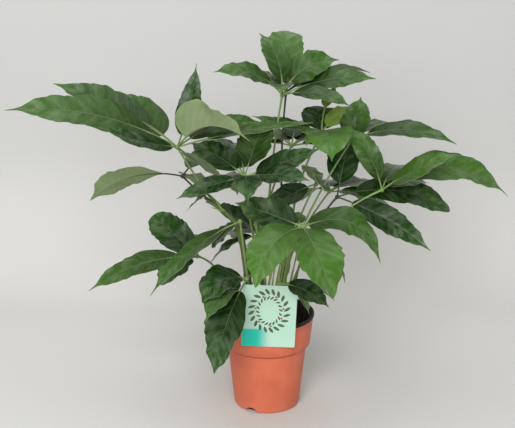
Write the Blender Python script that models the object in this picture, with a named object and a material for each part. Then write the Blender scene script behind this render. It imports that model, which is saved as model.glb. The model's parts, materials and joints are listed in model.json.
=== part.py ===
"""Potted amate umbrella tree: nursery pot, soil, label card, three canes and their compound leaves.

Metres, +Z up. The origin is the centre of the pot's flat bottom, and the front of the
plant faces -Y. A compound leaf is one stalk that ends in a hub, with a ring of leaflets.
"""
import math
from typing import NamedTuple

import bmesh
import bpy
from mathutils import Matrix, Vector

# Pot
POT_HEIGHT = 0.174
RIM_RADIUS = 0.085
LIP_HEIGHT = 0.005
LIP_OVERHANG = 0.0016
COLLAR_HEIGHT = 0.057
COLLAR_RADIUS = 0.0778
BODY_TOP_RADIUS = 0.0715
BASE_RADIUS = 0.059
BASE_CHAMFER = 0.003
WALL = 0.0024
FLOOR = 0.004
POT_SIDES = 40
NOTCH_SIDES = 12
NOTCH_RADIUS = 0.0125
NOTCH_SINK = 0.0032
NOTCH_OUT = 0.006
NOTCH_DEPTH = 0.03
STEP_SLOPE = 0.002
RIM_ROUND = 0.001
BODY_RING = 0.022
NOTCH_BEARINGS = (-118, 2, 122)

# Soil
SOIL_HEIGHT = 0.148
SOIL_CROWN = 0.004
SOIL_SIDES = 28
SOIL_LUMP = 0.0013
CROWN_STEPS = 5

# Label card
CARD_WIDTH = 0.093
CARD_HEIGHT = 0.119
CARD_THICK = 0.0008
CARD_CORNER = 0.003
CARD_CENTRE_X = 0.0035
CARD_FOOT_Z = 0.1405
CARD_LEAN = 8
CARD_TURN = 2
TONGUE_WIDTH = 0.018
TONGUE_REACH = 0.0155
TONGUE_DEPTH = 0.040

# Gaps: between touching solids, and round a stem in its soil hole
GAP = 0.0003
HOLE_GAP = 0.0006
HOLE_DEPTH = 0.045
HOLE_SIDES = 10
HOLE_ABOVE = 0.02

# Canes and leaf stalks
CANE_SIDES = 12
CANE_STEPS = 3
SCAR_SPACING = 0.031
SCAR_SWELL = 0.0009
BUD_NECK = 0.006
BUD_LENGTH = 0.009
BUD_SHARE = 0.72
BUD_TIP = 0.0007
STALK_SIDES = 6
STALK_RADIUS = 0.0023
STALK_TOP_RADIUS = 0.0016
STALK_STEPS = 5
STALK_CLASP = 0.012
STALK_STANDOFF = 0.0005
STALK_CLEAR = 0.006
KNOB_RADIUS = 0.0042

# Leaflets
BLADE_THICK = 0.0008
RIB_DEPTH = 0.0009
PETIOLULE_RADIUS = 0.0013
PETIOLULE_SHARE = 0.15
FOLD = 8
TIP_HALF_WIDTH = 0.0006
MARGIN_LAG = 2.1
WAVE_SHARE = 0.045
WAVES = 2.3
TOOTH_SHARE = 0.05
BASE_POWER = 0.62
TIP_POWER = 0.95
DRIP_START = 0.80
DRIP_END = 0.93
DRIP_SHARE = 0.6
GOLDEN_ANGLE = 137.5
LONG_LEAFLET = 0.125
LONG_STATIONS = (0.09, 0.24, 0.41, 0.57, 0.71, 0.84, 0.93)
SHORT_STATIONS = (0.12, 0.32, 0.56, 0.78, 0.91)
FAN_STAGGER = 8
FAN_DROOP = 10
FAN_SHORTER = 0.22
FAN_NARROWER = 0.12
SHARP_ANGLE = 40

# Colours (linear) and roughness
TERRACOTTA = ((0.56, 0.135, 0.07, 1), 0.5)
SOIL_BROWN = ((0.02, 0.013, 0.009, 1), 0.95)
CARD_MINT = ((0.55, 0.78, 0.66, 1), 0.4)
CANE_GREEN = ((0.13, 0.16, 0.045, 1), 0.6)
LEAF_GREEN = ((0.03, 0.09, 0.02, 1), 0.3)
BACK_GREEN = ((0.02, 0.06, 0.018, 1), 0.35)


class Leaflet(NamedTuple):
    """One leaflet: bearing and rise of its chord in degrees, chord length and width in metres.

    The bearing is 0 along +X and 90 along +Y. Arch and bow are the midrib's height and
    sideways offset over the chord, as shares of its length. Roll turns the blade about it.
    Bare is the share without a blade, and fold is how far each half of the blade is turned up.
    Base and tip shape the blade's two ends: the lower the blunter.
    """
    bearing: float
    rise: float
    length: float
    width: float
    arch: float = 0.1
    roll: float = 0.0
    bow: float = 0.0
    bare: float = PETIOLULE_SHARE
    fold: float = FOLD
    base: float = BASE_POWER
    tip: float = TIP_POWER


class Leaf(NamedTuple):
    """One compound leaf: its hub, where its stalk starts, the stalk's elbow and its leaflets."""
    name: str
    hub: tuple
    foot: tuple
    elbow: tuple
    leaflets: tuple
    finish: tuple = LEAF_GREEN
    plain: bool = False


def fan(count, first, last, rise, length, width, arch=0.12):
    """A ring of leaflets at even bearings, the outer ones a little shorter."""
    leaflets = []
    for index in range(count):
        share = index / (count - 1)
        outer = abs(2 * share - 1)
        leaflets.append(Leaflet(
            bearing=first + (last - first) * share,
            rise=rise + FAN_STAGGER * (index % 2) - FAN_DROOP * outer,
            length=length * (1 - FAN_SHORTER * outer),
            width=width * (1 - FAN_NARROWER * outer),
            arch=arch))
    return tuple(leaflets)


CANES = {
    "cane_left": (
        ((-0.028, -0.033, 0.152), 0.0072), ((-0.031, -0.038, 0.21), 0.0070),
        ((-0.0375, -0.041, 0.285), 0.0062), ((-0.051, -0.044, 0.345), 0.0048),
        ((-0.074, -0.042, 0.373), 0.0037), ((-0.096, -0.04, 0.388), 0.0031)),
    "cane_middle": (
        ((-0.002, 0.006, 0.152), 0.0054), ((-0.006, 0.006, 0.21), 0.0051),
        ((-0.012, 0.004, 0.28), 0.0047), ((-0.018, 0.002, 0.345), 0.0041)),
    "cane_right": (
        ((0.025, 0.003, 0.152), 0.0050), ((0.026, 0.004, 0.21), 0.0047),
        ((0.031, 0.004, 0.275), 0.0044), ((0.041, 0.002, 0.332), 0.0039)),
}

LEAVES = (
    Leaf("leaf_top_front", (0.025, 0.0, 0.567), ("cane_middle", 0.245, -50), (0.004, -0.006, 0.45), (
        Leaflet(-165, 20, 0.127, 0.044, 0.15, -32, bare=0.2),
        Leaflet(128, 57, 0.117, 0.050, 0.18, -10, bare=0.18),
        Leaflet(12, 30, 0.114, 0.058, 0.17, 42, bare=0.2),
        Leaflet(0, 10, 0.161, 0.044, 0.08, 42, bare=0.2),
        Leaflet(-28, -4, 0.128, 0.036, 0.10, 28),
        Leaflet(-92, 12, 0.123, 0.042, 0.12, 0))),
    Leaf("leaf_top_back", (0.032, 0.03, 0.567), ("cane_right", 0.300, 120), (0.016, 0.022, 0.40), (
        Leaflet(91, 40, 0.144, 0.064, 0.16, 0, tip=0.6),
        Leaflet(25, 8, 0.168, 0.034, 0.13, -25),
        Leaflet(43, -8, 0.133, 0.045, 0.15, 10),
        Leaflet(132, 6, 0.122, 0.050, 0.12, 0),
        Leaflet(79, -7, 0.154, 0.050, 0.15, 0))),
    Leaf("leaf_left", (-0.152, -0.04, 0.485), ("cane_left", 0.380, 60), (-0.115, -0.038, 0.42), (
        Leaflet(-172, 14, 0.289, 0.070, 0.085, -36, 0, 0.19),
        Leaflet(160, 22, 0.253, 0.060, 0.06, -30, 0, 0.24),
        Leaflet(136, 16, 0.241, 0.076, 0.04, -30, 0, 0.16, base=0.45),
        Leaflet(-138, 20, 0.163, 0.036, -0.03, -42, bare=0.06),
        Leaflet(63, 63, 0.149, 0.042, -0.06, 20, 0.0, tip=1.2),
        Leaflet(-26, 10, 0.139, 0.100, 0.22, -35, 0, 0.14, 35, base=0.5, tip=1.4),
        Leaflet(32, 8, 0.173, 0.045, 0.10, 30),
        Leaflet(56, -33, 0.144, 0.048, 0.0, 0),
        Leaflet(-2, 11, 0.232, 0.030, 0.03, 20, 0, 0.22))),
    Leaf("leaf_left_small", (-0.150, 0.03, 0.417), ("cane_left", 0.362, 90), (-0.11, 0.0, 0.385), (
        Leaflet(164, -18, 0.190, 0.054, 0.12, 50, base=1.2, tip=0.9),
        Leaflet(62, 4, 0.140, 0.050, 0.12, 0),
        Leaflet(75, -26, 0.100, 0.046, 0.12, 0))),
    Leaf("leaf_centre", (-0.038, -0.06, 0.439), (0.006, -0.028), (-0.012, -0.045, 0.34), (
        Leaflet(56, 57, 0.109, 0.072, 0.10, 0, -0.06),
        Leaflet(5, 20, 0.134, 0.046, 0.0, 36),
        Leaflet(-25, 3, 0.119, 0.046, 0.06, 30),
        Leaflet(-160, -13, 0.122, 0.036, 0.03, -32),
        Leaflet(148, 22, 0.122, 0.058, 0.05, -22),
        Leaflet(-86, -8, 0.111, 0.045, 0.15, 0),
        Leaflet(113, 14, 0.156, 0.055, 0.05, 0),
        Leaflet(99, 13, 0.135, 0.050, 0.10, 0)), BACK_GREEN),
    Leaf("leaf_inner", (0.095, 0.03, 0.497), ("cane_right", 0.31, 60), (0.045, 0.03, 0.40), (
        Leaflet(166, 10, 0.128, 0.030, 0.0, -20),
        Leaflet(99, 33, 0.066, 0.066, 0.05, 0, bare=0.08, base=0.5, tip=0.6),
        Leaflet(-83, -16, 0.105, 0.088, 0.22, 0, 0, 0.08),
        Leaflet(38, 22, 0.088, 0.036, 0.1, 25),
        Leaflet(-134, -24, 0.045, 0.030, 0.1, 0),
        Leaflet(60, 55, 0.090, 0.024, 0.06, 0, 0.06, bare=0.5)), BACK_GREEN),
    Leaf("leaf_right_upper", (0.146, 0.012, 0.487), ("cane_right", 0.245, -20), (0.064, -0.002, 0.36), (
        Leaflet(-20, 2, 0.181, 0.045, 0.12, 25),
        Leaflet(66, 59, 0.080, 0.056, 0.10, 0, -0.04, 0.04, base=0.4),
        Leaflet(40, 5, 0.12, 0.045, 0.12, 0))),
    Leaf("leaf_right", (0.197, -0.02, 0.406), (0.030, -0.030), (0.045, -0.03, 0.34), (
        Leaflet(-28, 31, 0.150, 0.045, 0.04, 42),
        Leaflet(5, -4, 0.223, 0.070, 0.21, 32),
        Leaflet(175, 62, 0.117, 0.040, 0.07, -80, tip=0.6),
        Leaflet(38, -3, 0.115, 0.040, 0.10, 20),
        Leaflet(67, 8, 0.121, 0.045, 0.12, 0))),
    Leaf("leaf_right_low", (0.122, 0.0, 0.388), (0.041, -0.018), (0.048, -0.014, 0.31), (
        Leaflet(-21, -25, 0.186, 0.050, 0.05, 42),
        Leaflet(7, -9, 0.206, 0.058, 0.12, 38, base=0.5, tip=0.5),
        Leaflet(58, 65, 0.120, 0.066, 0.04, 0, 0, 0.2, tip=0.7))),
    Leaf("leaf_inner_low", (0.085, 0.0, 0.411), (0.018, -0.024), (0.034, -0.022, 0.33), (
        Leaflet(-136, 53, 0.048, 0.046, 0.08, 0, base=0.5, tip=0.6),
        Leaflet(-82, 5, 0.081, 0.040, 0.1, -40),
        Leaflet(-162, -25, 0.104, 0.048, 0.06, -30, tip=0.8)), BACK_GREEN),
    Leaf("leaf_front", (0.058, -0.13, 0.372), (0.024, -0.045), (0.030, -0.080, 0.31), (
        Leaflet(-132, -33, 0.136, 0.074, 0.22, -10, 0, 0.07, tip=0.75),
        Leaflet(-68, -34, 0.146, 0.082, 0.2, 0, -0.07, 0.05, tip=0.6),
        Leaflet(-13, -22, 0.139, 0.060, 0.30, 25, 0, 0.05, base=0.5),
        Leaflet(8, -54, 0.124, 0.062, 0.12, 0, 0, 0.10),
        Leaflet(165, 16, 0.120, 0.064, 0.02, -36, 0, 0.10),
        Leaflet(118, 10, 0.056, 0.034, 0.1, 0))),
    Leaf("leaf_low_left", (-0.123, -0.02, 0.285), (-0.048, -0.012), (-0.075, -0.01, 0.27), (
        Leaflet(149, 31, 0.113, 0.060, 0.02, -36, 0, 0.06, base=0.5, tip=0.4),
        Leaflet(-171, -16, 0.198, 0.046, 0.09, -36),
        Leaflet(-134, -21, 0.090, 0.060, 0.1, 0, tip=0.6),
        Leaflet(91, 1, 0.120, 0.050, 0.1, 0))),
    Leaf("leaf_left_inner", (-0.046, -0.07, 0.364), ("cane_left", 0.225, -80), (-0.040, -0.065, 0.31), (
        Leaflet(-158, -35, 0.196, 0.045, 0.08, -10),
        Leaflet(171, -45, 0.070, 0.044, 0.05, -20, tip=0.6))),
    Leaf("leaf_front_left", (-0.034, -0.10, 0.272), (-0.008, -0.045), (-0.015, -0.055, 0.285), (
        Leaflet(-155, -21, 0.087, 0.070, 0.24, -15, bare=0.08, tip=0.75),
        Leaflet(-141, -33, 0.104, 0.058, 0.15, 0),
        Leaflet(-130, -60, 0.168, 0.078, 0.10, 0, 0.02, 0.14, tip=0.75)), BACK_GREEN),
    Leaf("leaf_front_right", (0.022, -0.10, 0.264), (0.012, -0.052), (0.014, -0.07, 0.245), (
        Leaflet(-20, -20, 0.092, 0.045, 0.1, 25),
        Leaflet(17, -23, 0.108, 0.038, 0.1, 0),
        Leaflet(44, -46, 0.104, 0.030, 0.1, 0)), BACK_GREEN),
    Leaf("leaf_back_left", (-0.045, 0.12, 0.375), ("cane_middle", 0.24, 110), (-0.03, 0.06, 0.32),
         fan(6, 172, 78, -16, 0.155, 0.052), BACK_GREEN, True),
    Leaf("leaf_back_middle", (0.045, 0.15, 0.445), ("cane_middle", 0.29, 80), (0.0, 0.07, 0.38),
         fan(7, 150, 15, -4, 0.165, 0.056), BACK_GREEN, True),
    Leaf("leaf_back_right", (0.115, 0.12, 0.365), ("cane_right", 0.24, 70), (0.06, 0.06, 0.31),
         fan(6, 115, -25, -12, 0.155, 0.055), BACK_GREEN, True),
    Leaf("leaf_back_low", (-0.01, 0.105, 0.285), (0.0, 0.040), (-0.005, 0.05, 0.25),
         fan(6, 180, 20, -20, 0.145, 0.055) + (
             Leaflet(-164, 35, 0.109, 0.050, 0.05, -30, tip=0.7),), BACK_GREEN, True),
)


def clear_scene():
    """Remove every object that is in the scene."""
    for obj in list(bpy.data.objects):
        bpy.data.objects.remove(obj, do_unlink=True)


def make_material(name, finish):
    """A Principled material from a colour and a roughness."""
    colour, roughness = finish
    material = bpy.data.materials.new(name)
    material.use_nodes = True
    shader = material.node_tree.nodes["Principled BSDF"]
    shader.inputs["Base Color"].default_value = colour
    shader.inputs["Roughness"].default_value = roughness
    shader.inputs["Metallic"].default_value = 0.0
    return material


def to_object(bm, name, finish=None):
    """Turn a bmesh into a smooth-shaded object with its own material."""
    mesh = bpy.data.meshes.new(name)
    bm.to_mesh(mesh)
    bm.free()
    mesh.shade_smooth()
    mesh.set_sharp_from_angle(angle=math.radians(SHARP_ANGLE))
    if finish:
        mesh.materials.append(make_material(name + "_finish", finish))
    obj = bpy.data.objects.new(name, mesh)
    bpy.context.scene.collection.objects.link(obj)
    return obj


def apply_modifiers(obj):
    """Replace an object's mesh by its evaluated one and drop its modifiers."""
    graph = bpy.context.evaluated_depsgraph_get()
    mesh = bpy.data.meshes.new_from_object(obj.evaluated_get(graph))
    obj.modifiers.clear()
    obj.data = mesh


def boolean(obj, operation, tools, name, solver="EXACT"):
    """One applied Boolean with a whole collection of tools, which are removed afterwards."""
    group = bpy.data.collections.new(name + "_tools")
    bpy.context.scene.collection.children.link(group)
    for tool in tools:
        bpy.context.scene.collection.objects.unlink(tool)
        group.objects.link(tool)
    step = obj.modifiers.new("Boolean", "BOOLEAN")
    step.operation = operation
    step.operand_type = "COLLECTION"
    step.collection = group
    step.solver = solver
    apply_modifiers(obj)
    for tool in tools:
        bpy.data.objects.remove(tool, do_unlink=True)
    bpy.data.collections.remove(group)


def lathe(profile, sides):
    """Turn an outline of (radius, height) points that starts and ends on the axis."""
    bm = bmesh.new()
    verts = [bm.verts.new((radius, 0, height)) for radius, height in profile]
    for lower, upper in zip(verts, verts[1:]):
        bm.edges.new((lower, upper))
    bmesh.ops.spin(bm, geom=bm.verts[:] + bm.edges[:], cent=(0, 0, 0), axis=(0, 0, 1),
                   angle=math.tau, steps=sides, use_merge=True)
    bmesh.ops.remove_doubles(bm, verts=bm.verts[:], dist=1e-6)
    bmesh.ops.recalc_face_normals(bm, faces=bm.faces[:])
    return bm


def inner_radius(height):
    """Radius of the pot's inside at a height."""
    step = POT_HEIGHT - COLLAR_HEIGHT
    if height < step:
        share = (height - FLOOR) / (step - FLOOR)
        return BASE_RADIUS - WALL + (BODY_TOP_RADIUS - BASE_RADIUS) * share
    share = (height - step) / COLLAR_HEIGHT
    rim = RIM_RADIUS - LIP_OVERHANG
    return BODY_TOP_RADIUS - WALL + (rim - BODY_TOP_RADIUS) * share


def build_pot():
    """The thin-walled pot with its collar, lip and drain notches."""
    step = POT_HEIGHT - COLLAR_HEIGHT
    rim = RIM_RADIUS - LIP_OVERHANG
    lip = POT_HEIGHT - LIP_HEIGHT
    ring_share = (BODY_RING - BASE_CHAMFER) / (step - STEP_SLOPE - BASE_CHAMFER)
    ring_radius = BASE_RADIUS + (BODY_TOP_RADIUS - BASE_RADIUS) * ring_share
    profile = [
        (0, 0), (BASE_RADIUS - BASE_CHAMFER, 0), (BASE_RADIUS, BASE_CHAMFER),
        (ring_radius, BODY_RING), (BODY_TOP_RADIUS, step - STEP_SLOPE), (COLLAR_RADIUS, step),
        (rim, lip - RIM_ROUND), (RIM_RADIUS, lip), (RIM_RADIUS, POT_HEIGHT - RIM_ROUND),
        (RIM_RADIUS - RIM_ROUND, POT_HEIGHT), (rim - WALL, POT_HEIGHT),
        (BODY_TOP_RADIUS - WALL, step),
        (BASE_RADIUS - WALL, FLOOR), (0, FLOOR)]
    pot = to_object(lathe(profile, POT_SIDES), "pot", TERRACOTTA)
    cutters = []
    for number, bearing in enumerate(NOTCH_BEARINGS):
        bm = bmesh.new()
        bmesh.ops.create_cone(bm, cap_ends=True, segments=NOTCH_SIDES, radius1=NOTCH_RADIUS,
                              radius2=NOTCH_RADIUS, depth=NOTCH_DEPTH)
        lay = Matrix.Rotation(math.radians(90), 4, "Y")
        out = Matrix.Translation((BASE_RADIUS + NOTCH_OUT, 0, -NOTCH_SINK))
        turn = Matrix.Rotation(math.radians(bearing), 4, "Z")
        bmesh.ops.transform(bm, matrix=turn @ out @ lay, verts=bm.verts[:])
        cutters.append(to_object(bm, f"notch_{number}"))
    boolean(pot, "DIFFERENCE", cutters, "pot")


def smooth_curve(points, steps):
    """Points along a smooth Catmull-Rom curve through the given points."""
    padded = [points[0] * 2 - points[1], *points, points[-1] * 2 - points[-2]]
    curve = []
    for before, start, end, after in zip(padded, padded[1:], padded[2:], padded[3:]):
        for index in range(steps):
            t = index / steps
            curve.append(0.5 * ((2 * start) + (end - before) * t
                                + (2 * before - 5 * start + 4 * end - after) * t * t
                                + (3 * start - before - 3 * end + after) * t ** 3))
    curve.append(points[-1].copy())
    return curve


def tube(path, radii, sides):
    """A closed tube along a path, with one radius at each of its points."""
    bm = bmesh.new()
    rings = []
    for index, point in enumerate(path):
        ahead = path[min(index + 1, len(path) - 1)]
        behind = path[max(index - 1, 0)]
        along = (ahead - behind).normalized()
        across = Vector((0, 1, 0)).cross(along).normalized()
        over = along.cross(across)
        ring = []
        for side in range(sides):
            angle = math.tau * side / sides
            ring.append(bm.verts.new(
                point + (across * math.cos(angle) + over * math.sin(angle)) * radii[index]))
        rings.append(ring)
    for lower, upper in zip(rings, rings[1:]):
        for side in range(sides):
            after = (side + 1) % sides
            bm.faces.new((lower[side], lower[after], upper[after], upper[side]))
    bm.faces.new(reversed(rings[0]))
    bm.faces.new(rings[-1])
    return bm


def cane_axis(name):
    """The smooth axis of a cane and its radius at each of its points."""
    points = [Vector(point) for point, radius in CANES[name]]
    radii = [Vector((radius, 0, 0)) for point, radius in CANES[name]]
    path = smooth_curve(points, CANE_STEPS)
    foot = Vector((points[0].x, points[0].y, SOIL_HEIGHT - HOLE_DEPTH + GAP))
    widths = [radius.x for radius in smooth_curve(radii, CANE_STEPS)]
    return [foot, *path], [widths[0], *widths]


def cane_at(name, height):
    """The axis point, direction and radius of a cane at a height."""
    path, radii = cane_axis(name)
    for index, (lower, upper) in enumerate(zip(path, path[1:])):
        if lower.z <= height <= upper.z:
            share = (height - lower.z) / (upper.z - lower.z)
            along = (upper - lower).normalized()
            return lower.lerp(upper, share), along, radii[index]
    return path[-1], (path[-1] - path[-2]).normalized(), radii[-1]


def build_cane(name):
    """A cane with swollen rings where old leaves have dropped, and a pointed tip bud."""
    path, radii = cane_axis(name)
    next_scar = SCAR_SPACING
    travelled = 0.0
    for index in range(1, len(path) - 1):
        travelled += (path[index] - path[index - 1]).length
        if travelled >= next_scar and path[index].z > SOIL_HEIGHT + 2 * SOIL_CROWN:
            radii[index] += SCAR_SWELL
            next_scar += SCAR_SPACING
    along = (path[-1] - path[-2]).normalized()
    path.append(path[-1] + along * BUD_NECK)
    radii.append(radii[-1] * BUD_SHARE)
    path.append(path[-1] + along * BUD_LENGTH)
    radii.append(BUD_TIP)
    return to_object(tube(path, radii, CANE_SIDES), name, CANE_GREEN)


def stalk_path(leaf):
    """The stalk's curve: up along the cane, or out of the soil, then over to the hub."""
    hub = Vector(leaf.hub)
    if isinstance(leaf.foot[0], str):
        name, height, bearing = leaf.foot
        axis, along, radius = cane_at(name, height)
        out = Vector((math.cos(math.radians(bearing)), math.sin(math.radians(bearing)), 0))
        out = (out - along * out.dot(along)).normalized()
        foot = axis + out * (radius + STALK_RADIUS + STALK_STANDOFF)
        start = foot + along * STALK_CLASP
        path = [foot]
    else:
        foot = Vector((leaf.foot[0], leaf.foot[1], SOIL_HEIGHT - HOLE_DEPTH + GAP))
        start = Vector((leaf.foot[0], leaf.foot[1], SOIL_HEIGHT + SOIL_CROWN + STALK_CLEAR))
        path = [foot]
    elbow = Vector(leaf.elbow)
    for index in range(STALK_STEPS + 1):
        t = index / STALK_STEPS
        path.append(start * (1 - t) ** 2 + elbow * 2 * t * (1 - t) + hub * t * t)
    return path


def half_width(leaf, t):
    """Half of the blade's width at a share of its length, 1 at the widest place.

    The blade narrows sharply just before its end, into the thin tip that sheds water.
    """
    widest = leaf.base / (leaf.base + leaf.tip)
    share = min(max((t - DRIP_START) / (DRIP_END - DRIP_START), 0), 1)
    depth = DRIP_SHARE * min(1, leaf.tip / TIP_POWER) ** 2
    drip = 1 - depth * share * share * (3 - 2 * share)
    return drip * (t / widest) ** leaf.base * ((1 - t) / (1 - widest)) ** leaf.tip


def leaflet_frame(hub, leaf, s):
    """The midrib's point at a share of its length, with the blade's side and up directions."""
    bearing, rise = math.radians(leaf.bearing), math.radians(leaf.rise)
    chord = Vector((math.cos(rise) * math.cos(bearing), math.cos(rise) * math.sin(bearing),
                    math.sin(rise)))
    across = Vector((0, 0, 1)).cross(chord).normalized()
    over = chord.cross(across)
    hump = 4 * s * (1 - s)
    point = hub + (chord * s + over * (leaf.arch * hump) + across * (leaf.bow * hump)) * leaf.length
    slope = 4 * (1 - 2 * s)
    along = (chord + over * (leaf.arch * slope) + across * (leaf.bow * slope)).normalized()
    side = Vector((0, 0, 1)).cross(along).normalized()
    turn = Matrix.Rotation(math.radians(leaf.roll), 3, along)
    return point, turn @ side, turn @ along.cross(side)


def build_leaflet(hub, leaf, phase, plain):
    """One leaflet as a closed solid: petiolule, then a thin folded blade with a waved edge."""
    bm = bmesh.new()
    fold = math.radians(leaf.fold)
    rings = []
    for s in (0.0, leaf.bare):
        point, side, up = leaflet_frame(hub, leaf, s)
        ring = [point + (side * math.cos(a) + up * math.sin(a)) * PETIOLULE_RADIUS
                for a in (math.radians(degrees) for degrees in (30, 90, 150, 210, 270, 330))]
        rings.append([bm.verts.new(corner) for corner in ring])
    short = plain or leaf.length < LONG_LEAFLET
    stations = SHORT_STATIONS if short else LONG_STATIONS
    for number, t in enumerate((*stations, 1.0)):
        point, side, up = leaflet_frame(hub, leaf, leaf.bare + (1 - leaf.bare) * t)
        tooth = 1 + TOOTH_SHARE * (-1) ** number if 0.5 < t < 1 else 1
        width = max(leaf.width / 2 * half_width(leaf, t) * tooth, TIP_HALF_WIDTH)
        calm = math.sin(math.pi * t)
        corners = []
        for sign, lag in ((1, 0.0), (-1, MARGIN_LAG)):
            wave = WAVE_SHARE * leaf.width * calm * math.sin(math.tau * WAVES * t + phase + lag)
            corners.append(point + side * (sign * width * math.cos(fold))
                           + up * (width * math.sin(fold) + wave))
        left, right = corners
        lift = up * (BLADE_THICK / 2)
        rib = up * (BLADE_THICK / 2 + RIB_DEPTH * (1 - t))
        ring = [left + lift, point + lift, right + lift, right - lift, point - rib, left - lift]
        rings.append([bm.verts.new(corner) for corner in ring])
    for lower, upper in zip(rings, rings[1:]):
        for corner in range(6):
            after = (corner + 1) % 6
            if corner in (3, 4):
                bm.faces.new((lower[corner], upper[corner], lower[after]))
                bm.faces.new((upper[corner], upper[after], lower[after]))
            else:
                bm.faces.new((lower[corner], upper[corner], upper[after]))
                bm.faces.new((lower[corner], upper[after], lower[after]))
    bm.faces.new(rings[0])
    bm.faces.new(reversed(rings[-1]))
    bmesh.ops.recalc_face_normals(bm, faces=bm.faces[:])
    return bm


def build_leaf(leaf, first_number):
    """A compound leaf: stalk, hub knob and leaflets in one solid."""
    path = stalk_path(leaf)
    last = len(path) - 1
    radii = [STALK_RADIUS + (STALK_TOP_RADIUS - STALK_RADIUS) * i / last for i in range(last + 1)]
    body = to_object(tube(path, radii, STALK_SIDES), leaf.name, leaf.finish)
    hub = Vector(leaf.hub)
    bm = bmesh.new()
    bmesh.ops.create_icosphere(bm, subdivisions=1, radius=KNOB_RADIUS, matrix=Matrix.Translation(hub))
    tools = [to_object(bm, leaf.name + "_knob")]
    for number, leaflet in enumerate(leaf.leaflets):
        phase = math.radians(GOLDEN_ANGLE * (first_number + number))
        bm = build_leaflet(hub, leaflet, phase, leaf.plain)
        tools.append(to_object(bm, f"{leaf.name}_{number}"))
    boolean(body, "UNION", tools, leaf.name, "MANIFOLD")


def build_soil():
    """The soil that fills the pot, lumpy on top, with a plain hole for each stem."""
    low = FLOOR + GAP
    step = POT_HEIGHT - COLLAR_HEIGHT
    profile = [(0, low), (inner_radius(low) - 2 * GAP, low)]
    profile += [(inner_radius(height) - 2 * GAP, height) for height in (step, SOIL_HEIGHT)]
    for index in range(1, CROWN_STEPS):
        share = index / CROWN_STEPS
        profile.append((inner_radius(SOIL_HEIGHT) * (1 - share), SOIL_HEIGHT + SOIL_CROWN * share))
    profile.append((0, SOIL_HEIGHT + SOIL_CROWN))
    bm = lathe(profile, SOIL_SIDES)
    for number, vert in enumerate(bm.verts):
        if vert.co.z > SOIL_HEIGHT + GAP:
            vert.co.z += SOIL_LUMP * math.sin(number * math.radians(GOLDEN_ANGLE))
    soil = to_object(bm, "soil", SOIL_BROWN)
    holes = [(points[0][0][0], points[0][0][1], points[0][1]) for points in CANES.values()]
    holes += [(leaf.foot[0], leaf.foot[1], STALK_RADIUS) for leaf in LEAVES
              if not isinstance(leaf.foot[0], str)]
    cutters = []
    for number, (x, y, radius) in enumerate(holes):
        bm = bmesh.new()
        depth = HOLE_DEPTH + HOLE_ABOVE
        middle = SOIL_HEIGHT - HOLE_DEPTH + depth / 2
        bmesh.ops.create_cone(bm, cap_ends=True, segments=HOLE_SIDES, radius1=radius + HOLE_GAP,
                              radius2=radius + HOLE_GAP, depth=depth,
                              matrix=Matrix.Translation((x, y, middle)))
        cutters.append(to_object(bm, f"hole_{number}"))
    left = CARD_CENTRE_X - TONGUE_WIDTH / 2 - HOLE_GAP
    corners = [Vector((left, y, z)) for y, z in tongue_outline(HOLE_GAP)[1:5]]
    slot_width = TONGUE_WIDTH + 2 * HOLE_GAP
    cutters.append(extrude_outline(corners, Vector((slot_width, 0, 0)), "slot"))
    boolean(soil, "DIFFERENCE", cutters, "soil", "MANIFOLD")


def extrude_outline(outline, travel, name, finish=None):
    """A prism: an outline of corners moved along a vector."""
    bm = bmesh.new()
    face = bm.faces.new([bm.verts.new(corner) for corner in outline])
    moved = bmesh.ops.extrude_face_region(bm, geom=[face])
    verts = [item for item in moved["geom"] if isinstance(item, bmesh.types.BMVert)]
    bmesh.ops.translate(bm, verts=verts, vec=travel)
    bmesh.ops.recalc_face_normals(bm, faces=bm.faces[:])
    return to_object(bm, name, finish)


def card_back(height):
    """How far forward the card's back stands at a height, as it leans over the lip."""
    above_lip = height - (POT_HEIGHT - LIP_HEIGHT)
    return -RIM_RADIUS - GAP - above_lip * math.tan(math.radians(CARD_LEAN))


def tongue_outline(gap):
    """The tongue's side view: back from the card, over the lip and down into the soil."""
    over = POT_HEIGHT + GAP
    inside = card_back(over) + TONGUE_REACH
    foot = over - TONGUE_DEPTH
    thick = CARD_THICK
    return [(card_back(over) - thick / 2, over - gap), (inside - gap, over - gap),
            (inside - gap, foot - gap), (inside + thick + gap, foot - gap),
            (inside + thick + gap, over + thick + gap),
            (card_back(over + thick) - thick / 2, over + thick + gap)]


def build_label():
    """The stiff card that stands in front of the rim, held by its tongue over the lip."""
    low, high = CARD_FOOT_Z, CARD_FOOT_Z + CARD_HEIGHT
    half = CARD_WIDTH / 2
    turn_over = Matrix.Rotation(math.radians(CARD_TURN), 3, "Y")
    middle = Vector((CARD_CENTRE_X, 0, low + CARD_HEIGHT / 2))
    outline = []
    for x_sign, z, start in ((1, low, -90), (1, high, 0), (-1, high, 90), (-1, low, 180)):
        z_in = z + CARD_CORNER if z == low else z - CARD_CORNER
        for turn in (0, 45, 90):
            angle = math.radians(start + turn)
            x = CARD_CENTRE_X + x_sign * (half - CARD_CORNER) + CARD_CORNER * math.cos(angle)
            height = z_in + CARD_CORNER * math.sin(angle)
            corner = middle + turn_over @ (Vector((x, 0, height)) - middle)
            outline.append(Vector((corner.x, card_back(corner.z), corner.z)))
    card = extrude_outline(outline, Vector((0, -CARD_THICK, 0)), "plant_label", CARD_MINT)
    left = CARD_CENTRE_X - TONGUE_WIDTH / 2
    corners = [Vector((left, y, z)) for y, z in tongue_outline(0)]
    tongue = extrude_outline(corners, Vector((TONGUE_WIDTH, 0, 0)), "tongue")
    boolean(card, "UNION", [tongue], "plant_label")


def main():
    """Build the whole plant."""
    clear_scene()
    build_pot()
    build_soil()
    build_label()
    for name in CANES:
        build_cane(name)
    first_number = 0
    for leaf in LEAVES:
        build_leaf(leaf, first_number)
        first_number += len(leaf.leaflets)


main()
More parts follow.
